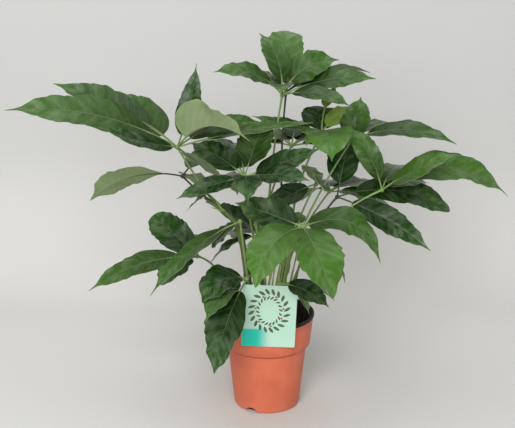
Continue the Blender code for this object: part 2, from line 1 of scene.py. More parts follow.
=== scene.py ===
import json
import logging
import math
import random
from dataclasses import dataclass
from enum import Enum, IntEnum
from typing import Optional, Union

import bmesh
import bpy
from mathutils import Matrix, Vector, noise

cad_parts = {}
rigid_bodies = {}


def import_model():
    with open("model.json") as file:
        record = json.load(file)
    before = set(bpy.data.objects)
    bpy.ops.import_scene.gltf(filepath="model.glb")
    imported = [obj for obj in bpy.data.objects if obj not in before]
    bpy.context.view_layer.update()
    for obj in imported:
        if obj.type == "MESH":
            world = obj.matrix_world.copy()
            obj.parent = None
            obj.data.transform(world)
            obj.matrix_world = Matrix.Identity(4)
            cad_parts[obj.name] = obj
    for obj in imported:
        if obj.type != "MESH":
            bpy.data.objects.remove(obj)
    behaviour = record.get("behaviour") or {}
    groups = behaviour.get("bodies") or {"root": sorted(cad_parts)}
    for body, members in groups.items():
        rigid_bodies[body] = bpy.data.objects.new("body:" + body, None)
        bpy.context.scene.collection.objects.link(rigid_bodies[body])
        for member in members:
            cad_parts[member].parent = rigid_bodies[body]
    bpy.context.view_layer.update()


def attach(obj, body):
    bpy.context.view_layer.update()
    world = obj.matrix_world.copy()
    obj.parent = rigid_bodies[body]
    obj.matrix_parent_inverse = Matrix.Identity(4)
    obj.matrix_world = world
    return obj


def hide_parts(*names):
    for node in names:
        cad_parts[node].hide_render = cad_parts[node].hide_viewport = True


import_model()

LOG = logging.getLogger("umbrella_tree")
BMesh = bmesh.types.BMesh
Material = bpy.types.Material
Object = bpy.types.Object
Socket = bpy.types.NodeSocket
Value = Union[float, Socket]
Paint = Union[str, Socket]
Colour = tuple[float, float, float, float]
Triple = tuple[float, float, float]
Pair = tuple[float, float]
UP = Vector((0.0, 0.0, 1.0))
BACKWARD = Vector((0.0, 1.0, 0.0))
MERGE_DISTANCE = 0.000001

# Pot
POT_HEIGHT = 0.174
RIM_RADIUS = 0.085
LIP_HEIGHT = 0.005
LIP_FOOT = POT_HEIGHT - LIP_HEIGHT
LIP_OVERHANG = 0.0016
COLLAR_HEIGHT = 0.057
STEP_HEIGHT = POT_HEIGHT - COLLAR_HEIGHT
COLLAR_RADIUS = 0.0778
BODY_TOP_RADIUS = 0.0715
BASE_RADIUS = 0.059
WALL = 0.0024
FLOOR = 0.004
NOTCH_RADIUS = 0.0125
NOTCH_SINK = 0.0032
NOTCH_OUT = 0.006
NOTCH_BEARINGS = (-118, 2, 122)

# Soil and the feet in it
SOIL_HEIGHT = 0.148
SOIL_CROWN = 0.004
GAP = 0.0003
HOLE_DEPTH = 0.045

# Canes, stalks and leaflets: the sizes that fix their form
CANE_STEPS = 8
SCAR_SPACING = 0.031
SCAR_SWELL = 0.0009
STALK_RADIUS = 0.0023
STALK_TOP_RADIUS = 0.0016
STALK_CLASP = 0.012
STALK_CLEAR = 0.006
STALK_STANDOFF = 0.0005
KNOB_RADIUS = 0.0042
PETIOLULE_RADIUS = 0.0013
PETIOLULE_SHARE = 0.15
FOLD = 8
WAVE_SHARE = 0.045
WAVES = 2.3
MARGIN_LAG = 2.1
BASE_POWER = 0.62
TIP_POWER = 0.95
DRIP_START = 0.80
DRIP_END = 0.93
DRIP_SHARE = 0.6
FAN_STAGGER = 8
FAN_DROOP = 10
FAN_SHORTER = 0.22
FAN_NARROWER = 0.12
FAN_ARCH = 0.12
GOLDEN_ANGLE = 137.5


class AgeAndShade(Enum):
    """How old a leaflet is and how lit: its tone (0 dark, 1 bright), partly painted shade and light, and
    its share of olive.
    """
    OLD = (0.05, 0.0)
    MATURE = (0.20, 0.03)
    GROWN = (0.34, 0.05)
    FRESH = (0.54, 0.08)
    BRIGHT = (0.68, 0.08)
    YOUNG = (0.80, 0.55)


class BladeSlot(IntEnum):
    """Material slots of a compound leaf."""
    TOP = 0
    UNDERSIDE = 1
    STALK = 2


class PotSlot(IntEnum):
    """Material slots of the pot."""
    OUTSIDE = 0
    LINING = 1


class CaneSlot(IntEnum):
    """Material slots of a cane."""
    BARK = 0
    STIPULE = 1


class Relief(Enum):
    """What raises the surface of a mottled finish."""
    NONE = 0
    CLOUDS = 1
    CELLS = 2
    BOTH = 3


@dataclass(frozen=True)
class Leaflet:
    """One leaflet, placed by its chord from the hub.

    The bearing is 0 along +X and 90 along +Y. Arch and bow are the midrib's height and sideways
    offset over the chord, as shares of its length. Roll turns the blade about its midrib, bare
    is the share without a blade, and fold is how far each half of the blade is turned up. Base
    and tip shape the blade's two ends: the lower the blunter. Crinkle strengthens the ripple of
    its margin. Its age is the whole leaf's where none is given.
    """
    bearing: float
    rise: float
    length: float
    width: float
    arch: float = 0.1
    roll: float = 0.0
    bow: float = 0.0
    bare: float = PETIOLULE_SHARE
    fold: float = FOLD
    base: float = BASE_POWER
    tip: float = TIP_POWER
    # The tone of this age also holds painted shade and light: shaded leaflets darker, lit ones brighter.
    age: Optional[AgeAndShade] = None
    crinkle: float = 1.0


@dataclass(frozen=True)
class LeafPlan:
    """One compound leaf: its hub, its stalk's foot and elbow, its leaflets, its age.

    The foot is a place in the soil, or the name of a cane with a height and a bearing on it.
    """
    name: str
    hub: Triple
    foot: tuple
    elbow: Triple
    leaflets: tuple[Leaflet, ...]
    age: AgeAndShade = AgeAndShade.GROWN
    dark_stalk: float = 0.0


def fan(count: int, first: float, last: float, rise: float, length: float,
        width: float) -> tuple[Leaflet, ...]:
    """Set out a ring of leaflets at even bearings, the outer ones a little shorter.

    Args:
        count: How many leaflets.
        first: Bearing of the first one, in degrees.
        last: Bearing of the last one, in degrees.
        rise: Rise of their chords, in degrees.
        length: Longest chord.
        width: Widest blade.

    Returns:
        The leaflets.
    """
    leaflets = []
    for index in range(count):
        share = index / (count - 1)
        outer = abs(2 * share - 1)
        leaflets.append(Leaflet(
            bearing=first + (last - first) * share,
            rise=rise + FAN_STAGGER * (index % 2) - FAN_DROOP * outer,
            length=length * (1 - FAN_SHORTER * outer),
            width=width * (1 - FAN_NARROWER * outer),
            arch=FAN_ARCH,
            age=AgeAndShade.GROWN if index % 3 else AgeAndShade.OLD))
    return tuple(leaflets)


CANES = {
    "cane_left": (
        ((-0.028, -0.033, 0.152), 0.0072), ((-0.031, -0.038, 0.21), 0.0070),
        ((-0.0375, -0.041, 0.285), 0.0062), ((-0.051, -0.044, 0.345), 0.0048),
        ((-0.074, -0.042, 0.373), 0.0037), ((-0.096, -0.04, 0.388), 0.0031)),
    "cane_middle": (
        ((-0.002, 0.006, 0.152), 0.0054), ((-0.006, 0.006, 0.21), 0.0051),
        ((-0.012, 0.004, 0.28), 0.0047), ((-0.018, 0.002, 0.345), 0.0041)),
    "cane_right": (
        ((0.025, 0.003, 0.152), 0.0050), ((0.026, 0.004, 0.21), 0.0047),
        ((0.031, 0.004, 0.275), 0.0044), ((0.041, 0.002, 0.332), 0.0039)),
}

# Each leaflet's age sets its tone and olive share; the tone is partly painted shade and light, darker deep
# in the foliage and brighter for lit leaflets in front.
LEAVES = (
    LeafPlan("leaf_top_front", (0.025, 0.0, 0.567), ("cane_middle", 0.245, -50), (0.004, -0.006, 0.45), (
        Leaflet(-165, 20, 0.127, 0.044, 0.15, -32, bare=0.2, crinkle=2.0),
        Leaflet(128, 57, 0.117, 0.050, 0.18, -10, bare=0.18),
        Leaflet(12, 30, 0.114, 0.058, 0.17, 42, bare=0.2, crinkle=2.0),
        Leaflet(0, 10, 0.161, 0.044, 0.08, 42, bare=0.2, age=AgeAndShade.MATURE),
        Leaflet(-28, -4, 0.128, 0.036, 0.10, 28, age=AgeAndShade.MATURE),
        Leaflet(-92, 12, 0.123, 0.042, 0.12))),
    LeafPlan("leaf_top_back", (0.032, 0.03, 0.567), ("cane_right", 0.300, 120), (0.016, 0.022, 0.40), (
        Leaflet(91, 40, 0.144, 0.064, 0.16, tip=0.6, age=AgeAndShade.FRESH),
        Leaflet(25, 8, 0.168, 0.034, 0.13, -25),
        Leaflet(43, -8, 0.133, 0.045, 0.15, 10),
        Leaflet(132, 6, 0.122, 0.050, 0.12),
        Leaflet(79, -7, 0.154, 0.050, 0.15)), dark_stalk=0.85),
    LeafPlan("leaf_left", (-0.152, -0.04, 0.485), ("cane_left", 0.380, 60), (-0.115, -0.038, 0.42), (
        Leaflet(-172, 14, 0.289, 0.070, 0.085, -36, bare=0.19),
        Leaflet(160, 22, 0.253, 0.060, 0.06, -30, bare=0.24, age=AgeAndShade.MATURE),
        Leaflet(136, 16, 0.241, 0.076, 0.04, -30, bare=0.16, base=0.45),
        Leaflet(-138, 20, 0.163, 0.036, -0.03, -42, bare=0.06, age=AgeAndShade.OLD),
        Leaflet(63, 63, 0.149, 0.042, -0.06, 20, tip=1.2, age=AgeAndShade.OLD),
        Leaflet(-26, 10, 0.139, 0.100, 0.22, -35, bare=0.14, fold=35, base=0.5, tip=1.4),
        Leaflet(32, 8, 0.173, 0.045, roll=30),
        Leaflet(56, -33, 0.144, 0.048, 0.0, age=AgeAndShade.OLD),
        Leaflet(-2, 11, 0.232, 0.030, 0.03, 20, bare=0.22)), dark_stalk=0.3),
    LeafPlan("leaf_left_small", (-0.150, 0.03, 0.417), ("cane_left", 0.362, 90), (-0.11, 0.0, 0.385), (
        Leaflet(164, -18, 0.190, 0.054, 0.12, 50, base=1.2, tip=0.9, age=AgeAndShade.OLD),
        Leaflet(62, 4, 0.140, 0.050, 0.12),
        Leaflet(75, -26, 0.100, 0.046, 0.12)), dark_stalk=0.95),
    LeafPlan("leaf_centre", (-0.038, -0.06, 0.439), (0.006, -0.028), (-0.012, -0.045, 0.34), (
        Leaflet(56, 57, 0.109, 0.072, bow=-0.06, age=AgeAndShade.MATURE, crinkle=2.0),
        Leaflet(5, 20, 0.134, 0.046, 0.0, 36),
        Leaflet(-25, 3, 0.119, 0.046, 0.06, 30),
        Leaflet(-160, -13, 0.122, 0.036, 0.03, -32),
        Leaflet(148, 22, 0.122, 0.058, 0.05, -22),
        Leaflet(-86, -8, 0.111, 0.045, 0.15),
        Leaflet(113, 14, 0.156, 0.055, 0.05),
        Leaflet(99, 13, 0.135, 0.050)), AgeAndShade.OLD),
    LeafPlan("leaf_inner", (0.095, 0.03, 0.497), ("cane_right", 0.31, 60), (0.045, 0.03, 0.40), (
        Leaflet(166, 10, 0.128, 0.030, 0.0, -20, age=AgeAndShade.GROWN),
        Leaflet(99, 33, 0.066, 0.066, 0.05, bare=0.08, base=0.5, tip=0.6),
        Leaflet(-83, -16, 0.105, 0.088, 0.22, bare=0.08, age=AgeAndShade.BRIGHT),
        Leaflet(38, 22, 0.088, 0.036, roll=25, age=AgeAndShade.YOUNG),
        Leaflet(-134, -24, 0.045, 0.030, age=AgeAndShade.YOUNG),
        Leaflet(60, 55, 0.090, 0.024, 0.06, bow=0.06, bare=0.5, age=AgeAndShade.YOUNG)), AgeAndShade.OLD),
    LeafPlan("leaf_right_upper", (0.146, 0.012, 0.487), ("cane_right", 0.245, -20), (0.064, -0.002, 0.36), (
        Leaflet(-20, 2, 0.181, 0.045, 0.12, 25, age=AgeAndShade.MATURE),
        Leaflet(66, 59, 0.080, 0.056, bow=-0.04, bare=0.04, base=0.4),
        Leaflet(40, 5, 0.12, 0.045, 0.12))),
    LeafPlan("leaf_right", (0.197, -0.02, 0.406), (0.030, -0.030), (0.045, -0.03, 0.34), (
        Leaflet(-28, 31, 0.150, 0.045, 0.04, 42, age=AgeAndShade.FRESH),
        Leaflet(5, -4, 0.223, 0.070, 0.21, 32, age=AgeAndShade.FRESH),
        Leaflet(175, 62, 0.117, 0.040, 0.07, -80, tip=0.6),
        Leaflet(38, -3, 0.115, 0.040, roll=20),
        Leaflet(67, 8, 0.121, 0.045, 0.12))),
    LeafPlan("leaf_right_low", (0.122, 0.0, 0.388), (0.041, -0.018), (0.048, -0.014, 0.31), (
        Leaflet(-21, -25, 0.186, 0.050, 0.05, 42, age=AgeAndShade.OLD),
        Leaflet(7, -9, 0.206, 0.058, 0.12, 38, base=0.5, tip=0.5, age=AgeAndShade.OLD),
        Leaflet(58, 65, 0.120, 0.066, 0.04, bare=0.2, tip=0.7, age=AgeAndShade.OLD)), dark_stalk=0.9),
    LeafPlan("leaf_inner_low", (0.085, 0.0, 0.411), (0.018, -0.024), (0.034, -0.022, 0.33), (
        Leaflet(-136, 53, 0.048, 0.046, 0.08, base=0.5, tip=0.6),
        Leaflet(-82, 5, 0.081, 0.040, roll=-40, age=AgeAndShade.GROWN),
        Leaflet(-162, -25, 0.104, 0.048, 0.06, -30, tip=0.8)), AgeAndShade.OLD, 0.3),
    LeafPlan("leaf_front", (0.058, -0.13, 0.372), (0.024, -0.045), (0.030, -0.080, 0.31), (
        Leaflet(-132, -33, 0.136, 0.074, 0.22, -10, bare=0.07, tip=0.75, age=AgeAndShade.BRIGHT),
        Leaflet(-68, -34, 0.146, 0.082, 0.2, bow=-0.07, bare=0.05, tip=0.6, age=AgeAndShade.BRIGHT),
        Leaflet(-13, -22, 0.139, 0.060, 0.30, 25, bare=0.05, base=0.5, age=AgeAndShade.GROWN),
        Leaflet(8, -54, 0.124, 0.062, 0.12, bare=0.10, age=AgeAndShade.GROWN),
        Leaflet(165, 16, 0.120, 0.064, 0.02, -36, bare=0.10, age=AgeAndShade.OLD),
        Leaflet(118, 10, 0.056, 0.034, age=AgeAndShade.GROWN)), AgeAndShade.FRESH),
    LeafPlan("leaf_low_left", (-0.123, -0.02, 0.285), (-0.048, -0.012), (-0.075, -0.01, 0.27), (
        Leaflet(149, 31, 0.113, 0.060, 0.02, -36, bare=0.06, base=0.5, tip=0.4, age=AgeAndShade.OLD),
        Leaflet(-171, -16, 0.198, 0.046, 0.09, -36),
        Leaflet(-134, -21, 0.090, 0.060, tip=0.6, age=AgeAndShade.MATURE),
        Leaflet(91, 1, 0.120, 0.050)), dark_stalk=0.3),
    LeafPlan("leaf_left_inner", (-0.046, -0.07, 0.364), ("cane_left", 0.225, -80), (-0.040, -0.065, 0.31), (
        Leaflet(-158, -35, 0.196, 0.045, 0.08, -10),
        Leaflet(171, -45, 0.070, 0.044, 0.05, -20, tip=0.6, age=AgeAndShade.OLD))),
    LeafPlan("leaf_front_left", (-0.034, -0.10, 0.272), (-0.008, -0.045), (-0.015, -0.055, 0.285), (
        Leaflet(-155, -21, 0.087, 0.070, 0.24, -15, bare=0.08, tip=0.75),
        Leaflet(-141, -33, 0.104, 0.058, 0.15, age=AgeAndShade.GROWN),
        Leaflet(-130, -60, 0.168, 0.078, bow=0.02, bare=0.14, tip=0.75)), AgeAndShade.OLD),
    LeafPlan("leaf_front_right", (0.022, -0.10, 0.264), (0.012, -0.052), (0.014, -0.07, 0.245), (
        Leaflet(-20, -20, 0.092, 0.045, roll=25),
        Leaflet(17, -23, 0.108, 0.038),
        Leaflet(44, -46, 0.104, 0.030)), AgeAndShade.OLD),
    LeafPlan("leaf_back_left", (-0.045, 0.12, 0.375), ("cane_middle", 0.24, 110), (-0.03, 0.06, 0.32),
             fan(6, 172, 78, -16, 0.155, 0.052)),
    LeafPlan("leaf_back_middle", (0.045, 0.15, 0.445), ("cane_middle", 0.29, 80), (0.0, 0.07, 0.38),
             fan(7, 150, 15, -4, 0.165, 0.056)),
    LeafPlan("leaf_back_right", (0.115, 0.12, 0.365), ("cane_right", 0.24, 70), (0.06, 0.06, 0.31),
             fan(6, 115, -25, -12, 0.155, 0.055)),
    LeafPlan("leaf_back_low", (-0.01, 0.105, 0.285), (0.0, 0.040), (-0.005, 0.05, 0.25),
             fan(6, 180, 20, -20, 0.145, 0.055) + (
                 Leaflet(-164, 35, 0.109, 0.050, 0.05, -30, tip=0.7, age=AgeAndShade.OLD),)),
)


def srgb(code: str) -> Colour:
    """Turn an sRGB colour into a linear one.

    Args:
        code: The colour in hex, such as "c8694c".

    Returns:
        The linear colour with full alpha.
    """
    shares = [int(code[start:start + 2], 16) / 255 for start in (0, 2, 4)]
    linear = [s / 12.92 if s <= 0.04045 else ((s + 0.055) / 1.055) ** 2.4 for s in shares]
    return (linear[0], linear[1], linear[2], 1.0)


def fill_inputs(tree: bpy.types.NodeTree, node: bpy.types.Node, values: dict) -> None:
    """Give a node's inputs their values, or link them to what feeds them.

    Args:
        tree: The node's tree.
        node: The node.
        values: Input name or number to a value, or to an output socket.
    """
    for name, value in values.items():
        if isinstance(value, Socket):
            tree.links.new(value, node.inputs[name])
        else:
            node.inputs[name].default_value = value


def add_node(tree: bpy.types.NodeTree, kind: str, values: Optional[dict] = None,
             **settings: object) -> bpy.types.Node:
    """Add a node, give it its settings, and fill or link its inputs.

    Args:
        tree: The node tree that it goes into.
        kind: The node's Blender type name.
        values: What its inputs hold, as fill_inputs takes it.
        settings: The node's own properties.

    Returns:
        The new node.
    """
    node = tree.nodes.new(kind)
    for name, value in settings.items():
        setattr(node, name, value)
    fill_inputs(tree, node, values or {})
    return node


def keep_object(bm: BMesh, name: str, materials: list[Material], sharp: float) -> Object:
    """Turn a bmesh into a smooth-shaded object at the origin.

    Args:
        bm: The shape, which is freed.
        name: The object's name.
        materials: Its material slots, in order.
        sharp: Edges that turn by more degrees than this stay sharp.

    Returns:
        The object, linked to the scene.
    """
    mesh = bpy.data.meshes.new(name)
    bm.to_mesh(mesh)
    bm.free()
    shade(mesh, sharp)
    for material in materials:
        mesh.materials.append(material)
    obj = bpy.data.objects.new(name, mesh)
    bpy.context.scene.collection.objects.link(obj)
    return obj


def shade(mesh: bpy.types.Mesh, sharp: float) -> None:
    """Shade a mesh smooth, but for edges that turn by more than so many degrees."""
    mesh.shade_smooth()
    mesh.set_sharp_from_angle(angle=math.radians(sharp))


def merge_into(target: BMesh, piece: BMesh) -> None:
    """Copy a bmesh into another one and free it.

    Args:
        target: The bmesh that grows.
        piece: The bmesh that is copied in.
    """
    mesh = bpy.data.meshes.new("piece")
    piece.to_mesh(mesh)
    piece.free()
    target.from_mesh(mesh)
    bpy.data.meshes.remove(mesh)


def thicken(bm: BMesh, shift: Triple) -> None:
    """Extrude all the faces of a flat shape.

    Args:
        bm: The shape.
        shift: How far its new side moves, which is the shape's thickness.
    """
    grown = bmesh.ops.extrude_face_region(bm, geom=bm.faces[:])["geom"]
    verts = [item for item in grown if isinstance(item, bmesh.types.BMVert)]
    bmesh.ops.translate(bm, verts=verts, vec=shift)


def smooth_curve(points: list[Vector], steps: int) -> list[Vector]:
    """Place points along a smooth Catmull-Rom curve.

    Args:
        points: The points that the curve goes through.
        steps: How many steps it takes between two of them.

    Returns:
        The curve's points.
    """
    padded = [points[0] * 2 - points[1], *points, points[-1] * 2 - points[-2]]
    curve = []
    for before, start, end, after in zip(padded, padded[1:], padded[2:], padded[3:]):
        for index in range(steps):
            t = index / steps
            curve.append(0.5 * ((2 * start) + (end - before) * t
                                + (2 * before - 5 * start + 4 * end - after) * t * t
                                + (3 * start - before - 3 * end + after) * t ** 3))
    curve.append(points[-1].copy())
    return curve


def sunflower(number: int, count: int, reach: float, swing: float = 0.0,
              pull: float = 1.0) -> Pair:
    """Place one of many things on a sunflower spiral, which covers a disc evenly.

    Args:
        number: Which one it is.
        count: How many there are.
        reach: The disc's radius.
        swing: A turn added to its angle, in radians.
        pull: A factor on its distance from the middle.

    Returns:
        Its X and Y from the disc's middle.
    """
    angle = math.radians(GOLDEN_ANGLE * number) + swing
    distance = reach * math.sqrt((number + 0.5) / count) * pull
    return distance * math.cos(angle), distance * math.sin(angle)


def heading(bearing: float, rise: float = 0.0) -> Vector:
    """Give the direction at a bearing and a rise in degrees."""
    turn, tilt = math.radians(bearing), math.radians(rise)
    return Vector((math.cos(tilt) * math.cos(turn), math.cos(tilt) * math.sin(turn), math.sin(tilt)))


def quarter_round(centre: Pair, radius: float, first: float, steps: int) -> list[Pair]:
    """Place points along a quarter of a circle.

    Args:
        centre: The circle's middle.
        radius: Its radius.
        first: The angle of the first point, in degrees.
        steps: How many steps the quarter has.

    Returns:
        The points, anticlockwise.
    """
    angles = [math.radians(first + 90 * index / steps) for index in range(steps + 1)]
    return [(centre[0] + radius * math.cos(angle), centre[1] + radius * math.sin(angle))
            for angle in angles]


def sweep(path: list[Vector], radii: list[float], sides: int, guide: Vector) -> BMesh:
    """Draw a round section along a path by extruding its end cap from point to point.

    Args:
        path: The centre line.
        radii: The section's radius at each of its points.
        sides: How many sides the section has.
        guide: A direction that the path never follows, which fixes the section's turn.

    Returns:
        The closed tube.
    """
    places = []
    for index, point in enumerate(path):
        ahead = path[min(index + 1, len(path) - 1)]
        behind = path[max(index - 1, 0)]
        along = (ahead - behind).normalized()
        across = guide.cross(along).normalized()
        over = along.cross(across)
        turn = Matrix((across, over, along)).transposed().to_4x4()
        size = Matrix.Diagonal((radii[index], radii[index], radii[index], 1))
        places.append(Matrix.Translation(point) @ turn @ size)
    bm = bmesh.new()
    bmesh.ops.create_circle(bm, cap_ends=True, radius=1.0, segments=sides, matrix=places[0])
    bm.faces.ensure_lookup_table()
    cap = bm.faces[0]
    for before, after in zip(places, places[1:]):
        grown = bmesh.ops.extrude_face_region(bm, geom=[cap])["geom"]
        verts = [item for item in grown if isinstance(item, bmesh.types.BMVert)]
        cap = next(item for item in grown if isinstance(item, bmesh.types.BMFace))
        bmesh.ops.transform(bm, matrix=after @ before.inverted(), verts=verts)
    bmesh.ops.recalc_face_normals(bm, faces=bm.faces[:])
    return bm


def spin_profile(profile: list[Pair], sides: int) -> BMesh:
    """Turn an outline of (radius, height) points about the Z axis.

    Args:
        profile: The outline, which starts and ends on the axis.
        sides: How many steps the full turn has.

    Returns:
        The closed round shape.
    """
    bm = bmesh.new()
    verts = [bm.verts.new((radius, 0, height)) for radius, height in profile]
    for lower, upper in zip(verts, verts[1:]):
        bm.edges.new((lower, upper))
    bmesh.ops.spin(bm, geom=bm.verts[:] + bm.edges[:], cent=(0, 0, 0), axis=(0, 0, 1),
                   angle=math.tau, steps=sides, use_merge=True)
    bmesh.ops.remove_doubles(bm, verts=bm.verts[:], dist=MERGE_DISTANCE)
    bmesh.ops.recalc_face_normals(bm, faces=bm.faces[:])
    return bm


def inner_radius(height: float) -> float:
    """Give the radius of the pot's inside.

    Args:
        height: The height where it is wanted, from the floor up.

    Returns:
        The radius.
    """
    if height < STEP_HEIGHT:
        share = (height - FLOOR) / (STEP_HEIGHT - FLOOR)
        return BASE_RADIUS - WALL + (BODY_TOP_RADIUS - BASE_RADIUS) * share
    share = (height - STEP_HEIGHT) / COLLAR_HEIGHT
    return BODY_TOP_RADIUS - WALL + (RIM_RADIUS - LIP_OVERHANG - BODY_TOP_RADIUS) * share


class Recipe:
    """A material in the making: its node tree, its Principled shader and patterns to mix.

    The patterns lie on the object's own coordinates, and their sizes are in real millimetres.
    """

    def __init__(self, name: str) -> None:
        """Start the material.

        Args:
            name: The material's name.
        """
        self.material = bpy.data.materials.new(name)
        self.material.use_nodes = True
        self.tree = self.material.node_tree
        self.shader = self.tree.nodes["Principled BSDF"]
        self.place = self.node("TexCoord").outputs["Object"]

    def node(self, kind: str, values: Optional[dict] = None, **settings: object) -> bpy.types.Node:
        """Add a shader node by the short name of its kind, as add_node does."""
        return add_node(self.tree, "ShaderNode" + kind, values, **settings)

    def noise(self, size_mm: float, detail: float = 2.0, rough: float = 0.5,
              place: Optional[Socket] = None) -> Socket:
        """Add a cloudy pattern.

        Args:
            size_mm: How large its clouds are. On other coordinates 1000 is one unit of them.
            detail: How many finer layers it has.
            rough: How strong they are.
            place: The coordinates under it, if they aren't the object's own.

        Returns:
            The pattern, about 0.5 on average.
        """
        return self.node("TexNoise", {
            "Vector": place or self.place, "Scale": 1000 / size_mm, "Detail": detail,
            "Roughness": rough}).outputs["Fac"]

    def cells(self, size_mm: float, feature: str = "F1") -> Socket:
        """Add cells of a size, as the distance from their middles or from their edges."""
        return self.node("TexVoronoi", {"Vector": self.place, "Scale": 1000 / size_mm},
                         feature=feature).outputs["Distance"]

    def ramp(self, value: Socket, start: float = 0.0, end: float = 1.0, low: float = 0.0,
             high: float = 1.0, smooth: bool = False) -> Socket:
        """Stretch one range of a value over another one.

        Args:
            value: The value.
            start: Where it gives the low end.
            end: Where it gives the high end.
            low: The low end.
            high: The high end.
            smooth: Whether it eases in and out.

        Returns:
            The new value, which stays between both ends.
        """
        return self.node("MapRange", {
            "Value": value, "From Min": start, "From Max": end, "To Min": low, "To Max": high},
            interpolation_type="SMOOTHSTEP" if smooth else "LINEAR").outputs["Result"]

    def mix(self, share: Socket, first: Paint, second: Paint) -> Socket:
        """Mix two colours.

        Args:
            share: The share of the second one.
            first: One colour, in sRGB hex or as a socket.
            second: The other one.

        Returns:
            The mixed colour.
        """
        one, two = (srgb(paint) if isinstance(paint, str) else paint for paint in (first, second))
        return self.node("Mix", {0: share, 6: one, 7: two}, data_type="RGBA").outputs[2]

    def calc(self, operation: str, *values: Value, clamp: bool = False) -> Socket:
        """Calculate with numbers.

        Args:
            operation: Blender's name for what is done.
            values: The numbers, or the sockets that give them.
            clamp: Whether the outcome is kept between 0 and 1.

        Returns:
            The outcome.
        """
        return self.node("Math", dict(enumerate(values)), operation=operation,
                         use_clamp=clamp).outputs[0]

    def axis(self, name: str, vector: Optional[Socket] = None) -> Socket:
        """Give one axis of a vector, or of the object's own coordinates."""
        return self.node("SeparateXYZ", {0: vector or self.place}).outputs[name]

    def stretch(self, scale: Triple, vector: Optional[Socket] = None) -> Socket:
        """Scale a vector, or the object's own coordinates, axis by axis."""
        return self.node("Mapping", {0: vector or self.place, "Scale": scale}).outputs[0]

    def attribute(self, name: str) -> Socket:
        """Give a number that is written on the mesh."""
        return self.node("Attribute", attribute_name=name).outputs["Fac"]

    def vein_map(self) -> Socket:
        """Give the vein map: how many side veins lie below a place, and its way across."""
        return self.node("UVMap", uv_map="veins").outputs["UV"]

    def vein_lines(self, start: float, strength: float) -> Socket:
        """Draw the side veins, which lie where the vein map's first number is whole.

        Args:
            start: Where a vein starts, from 0 half way between two veins to 0.5 on one.
            strength: How strong its middle is.

        Returns:
            The lines.
        """
        phase = self.calc("FRACT", self.axis("X", self.vein_map()))
        nearness = self.calc("ABSOLUTE", self.calc("SUBTRACT", phase, 0.5))
        return self.ramp(nearness, start, 0.5, high=strength, smooth=True)

    def bump(self, height: Socket, strength: float, depth: float) -> Socket:
        """Raise the surface by a pattern, with a strength from 0 to 1 and a depth in metres."""
        return self.node("Bump", {
            "Height": height, "Strength": strength, "Distance": depth}).outputs["Normal"]

    def finish(self, values: dict) -> Material:
        """Fill the shader's inputs and hand over the material."""
        fill_inputs(self.tree, self.shader, values)
        return self.material


@dataclass(frozen=True)
class MottledFinish:
    """A finish that drifts in clouds between two tones, raised by its clouds or by cells."""
    name: str
    base: str
    shade: str
    cloud_mm: float = 2.5
    spread: Pair = (0.35, 0.65)
    roughness: float = 0.4
    detail: float = 2.0
    cloud_rough: float = 0.5
    cell_mm: float = 1.0
    relief: Relief = Relief.NONE
    strength: float = 0.0
    depth: float = 0.0
    ior: float = 1.5
    specular: float = 0.5

    def make(self) -> Material:
        """Build the material.

        Returns:
            The material.
        """
        recipe = Recipe(self.name)
        clouds = height = recipe.noise(self.cloud_mm, self.detail, self.cloud_rough)
        values = {
            "Base Color": recipe.mix(recipe.ramp(clouds, *self.spread), self.base, self.shade),
            "Roughness": self.roughness, "IOR": self.ior, "Specular IOR Level": self.specular}
        if self.relief in (Relief.CELLS, Relief.BOTH):
            height = recipe.cells(self.cell_mm)
        if self.relief is Relief.BOTH:
            height = recipe.calc("ADD", height, clouds)
        if self.relief is not Relief.NONE:
            values["Normal"] = recipe.bump(height, self.strength, self.depth)
        return recipe.finish(values)


@dataclass(frozen=True)
class BlackLining(MottledFinish):
    """The pot's black inner layer: moulded plastic, dull and a little dusty with soil."""
    name: str = "black_polypropylene_lining"
    base: str = "17120f"
    shade: str = "3a2c22"
    cloud_mm: float = 14.0
    spread: Pair = (0.5, 0.8)
    roughness: float = 0.5
    detail: float = 5.0
    relief: Relief = Relief.CLOUDS
    strength: float = 0.2
    depth: float = 0.0004
    ior: float = 1.49
    specular: float = 0.25


@dataclass(frozen=True)
class PeatSoil(MottledFinish):
    """Damp peat with bark crumbs: nearly black brown, fully matt, with lighter fibres in it."""
    name: str = "peat_potting_soil_damp"
    base: str = "1c140f"
    shade: str = "43301f"
    cloud_mm: float = 2.381
    spread: Pair = (0.46, 0.72)
    roughness: float = 0.93
    detail: float = 6.0
    cloud_rough: float = 0.7
    cell_mm: float = 3.5
    relief: Relief = Relief.BOTH
    strength: float = 0.7
    depth: float = 0.0015
    specular: float = 0.2


@dataclass(frozen=True)
class ExpandedPerlite(MottledFinish):
    """Expanded volcanic glass: chalky white foam, matt, with grey pits and brown peat stain."""
    name: str = "perlite_expanded_white"
    base: str = "e9e6da"
    shade: str = "a08c70"
    cloud_mm: float = 3.333
    spread: Pair = (0.5, 0.8)
    roughness: float = 0.9
    cell_mm: float = 0.8
    relief: Relief = Relief.CELLS
    strength: float = 0.5
    depth: float = 0.0004


@dataclass(frozen=True)
class PrintInk(MottledFinish):
    """Offset ink under the card's film: flat colour with a fine mottle of the paper below."""


@dataclass(frozen=True)
class CoirFibre(MottledFinish):
    """Dry coconut fibre: drawn threads of mid brown, half matt, darker where they are damp."""
    name: str = "coir_fibre_brown"
    base: str = "8a6a42"
    shade: str = "5d452b"


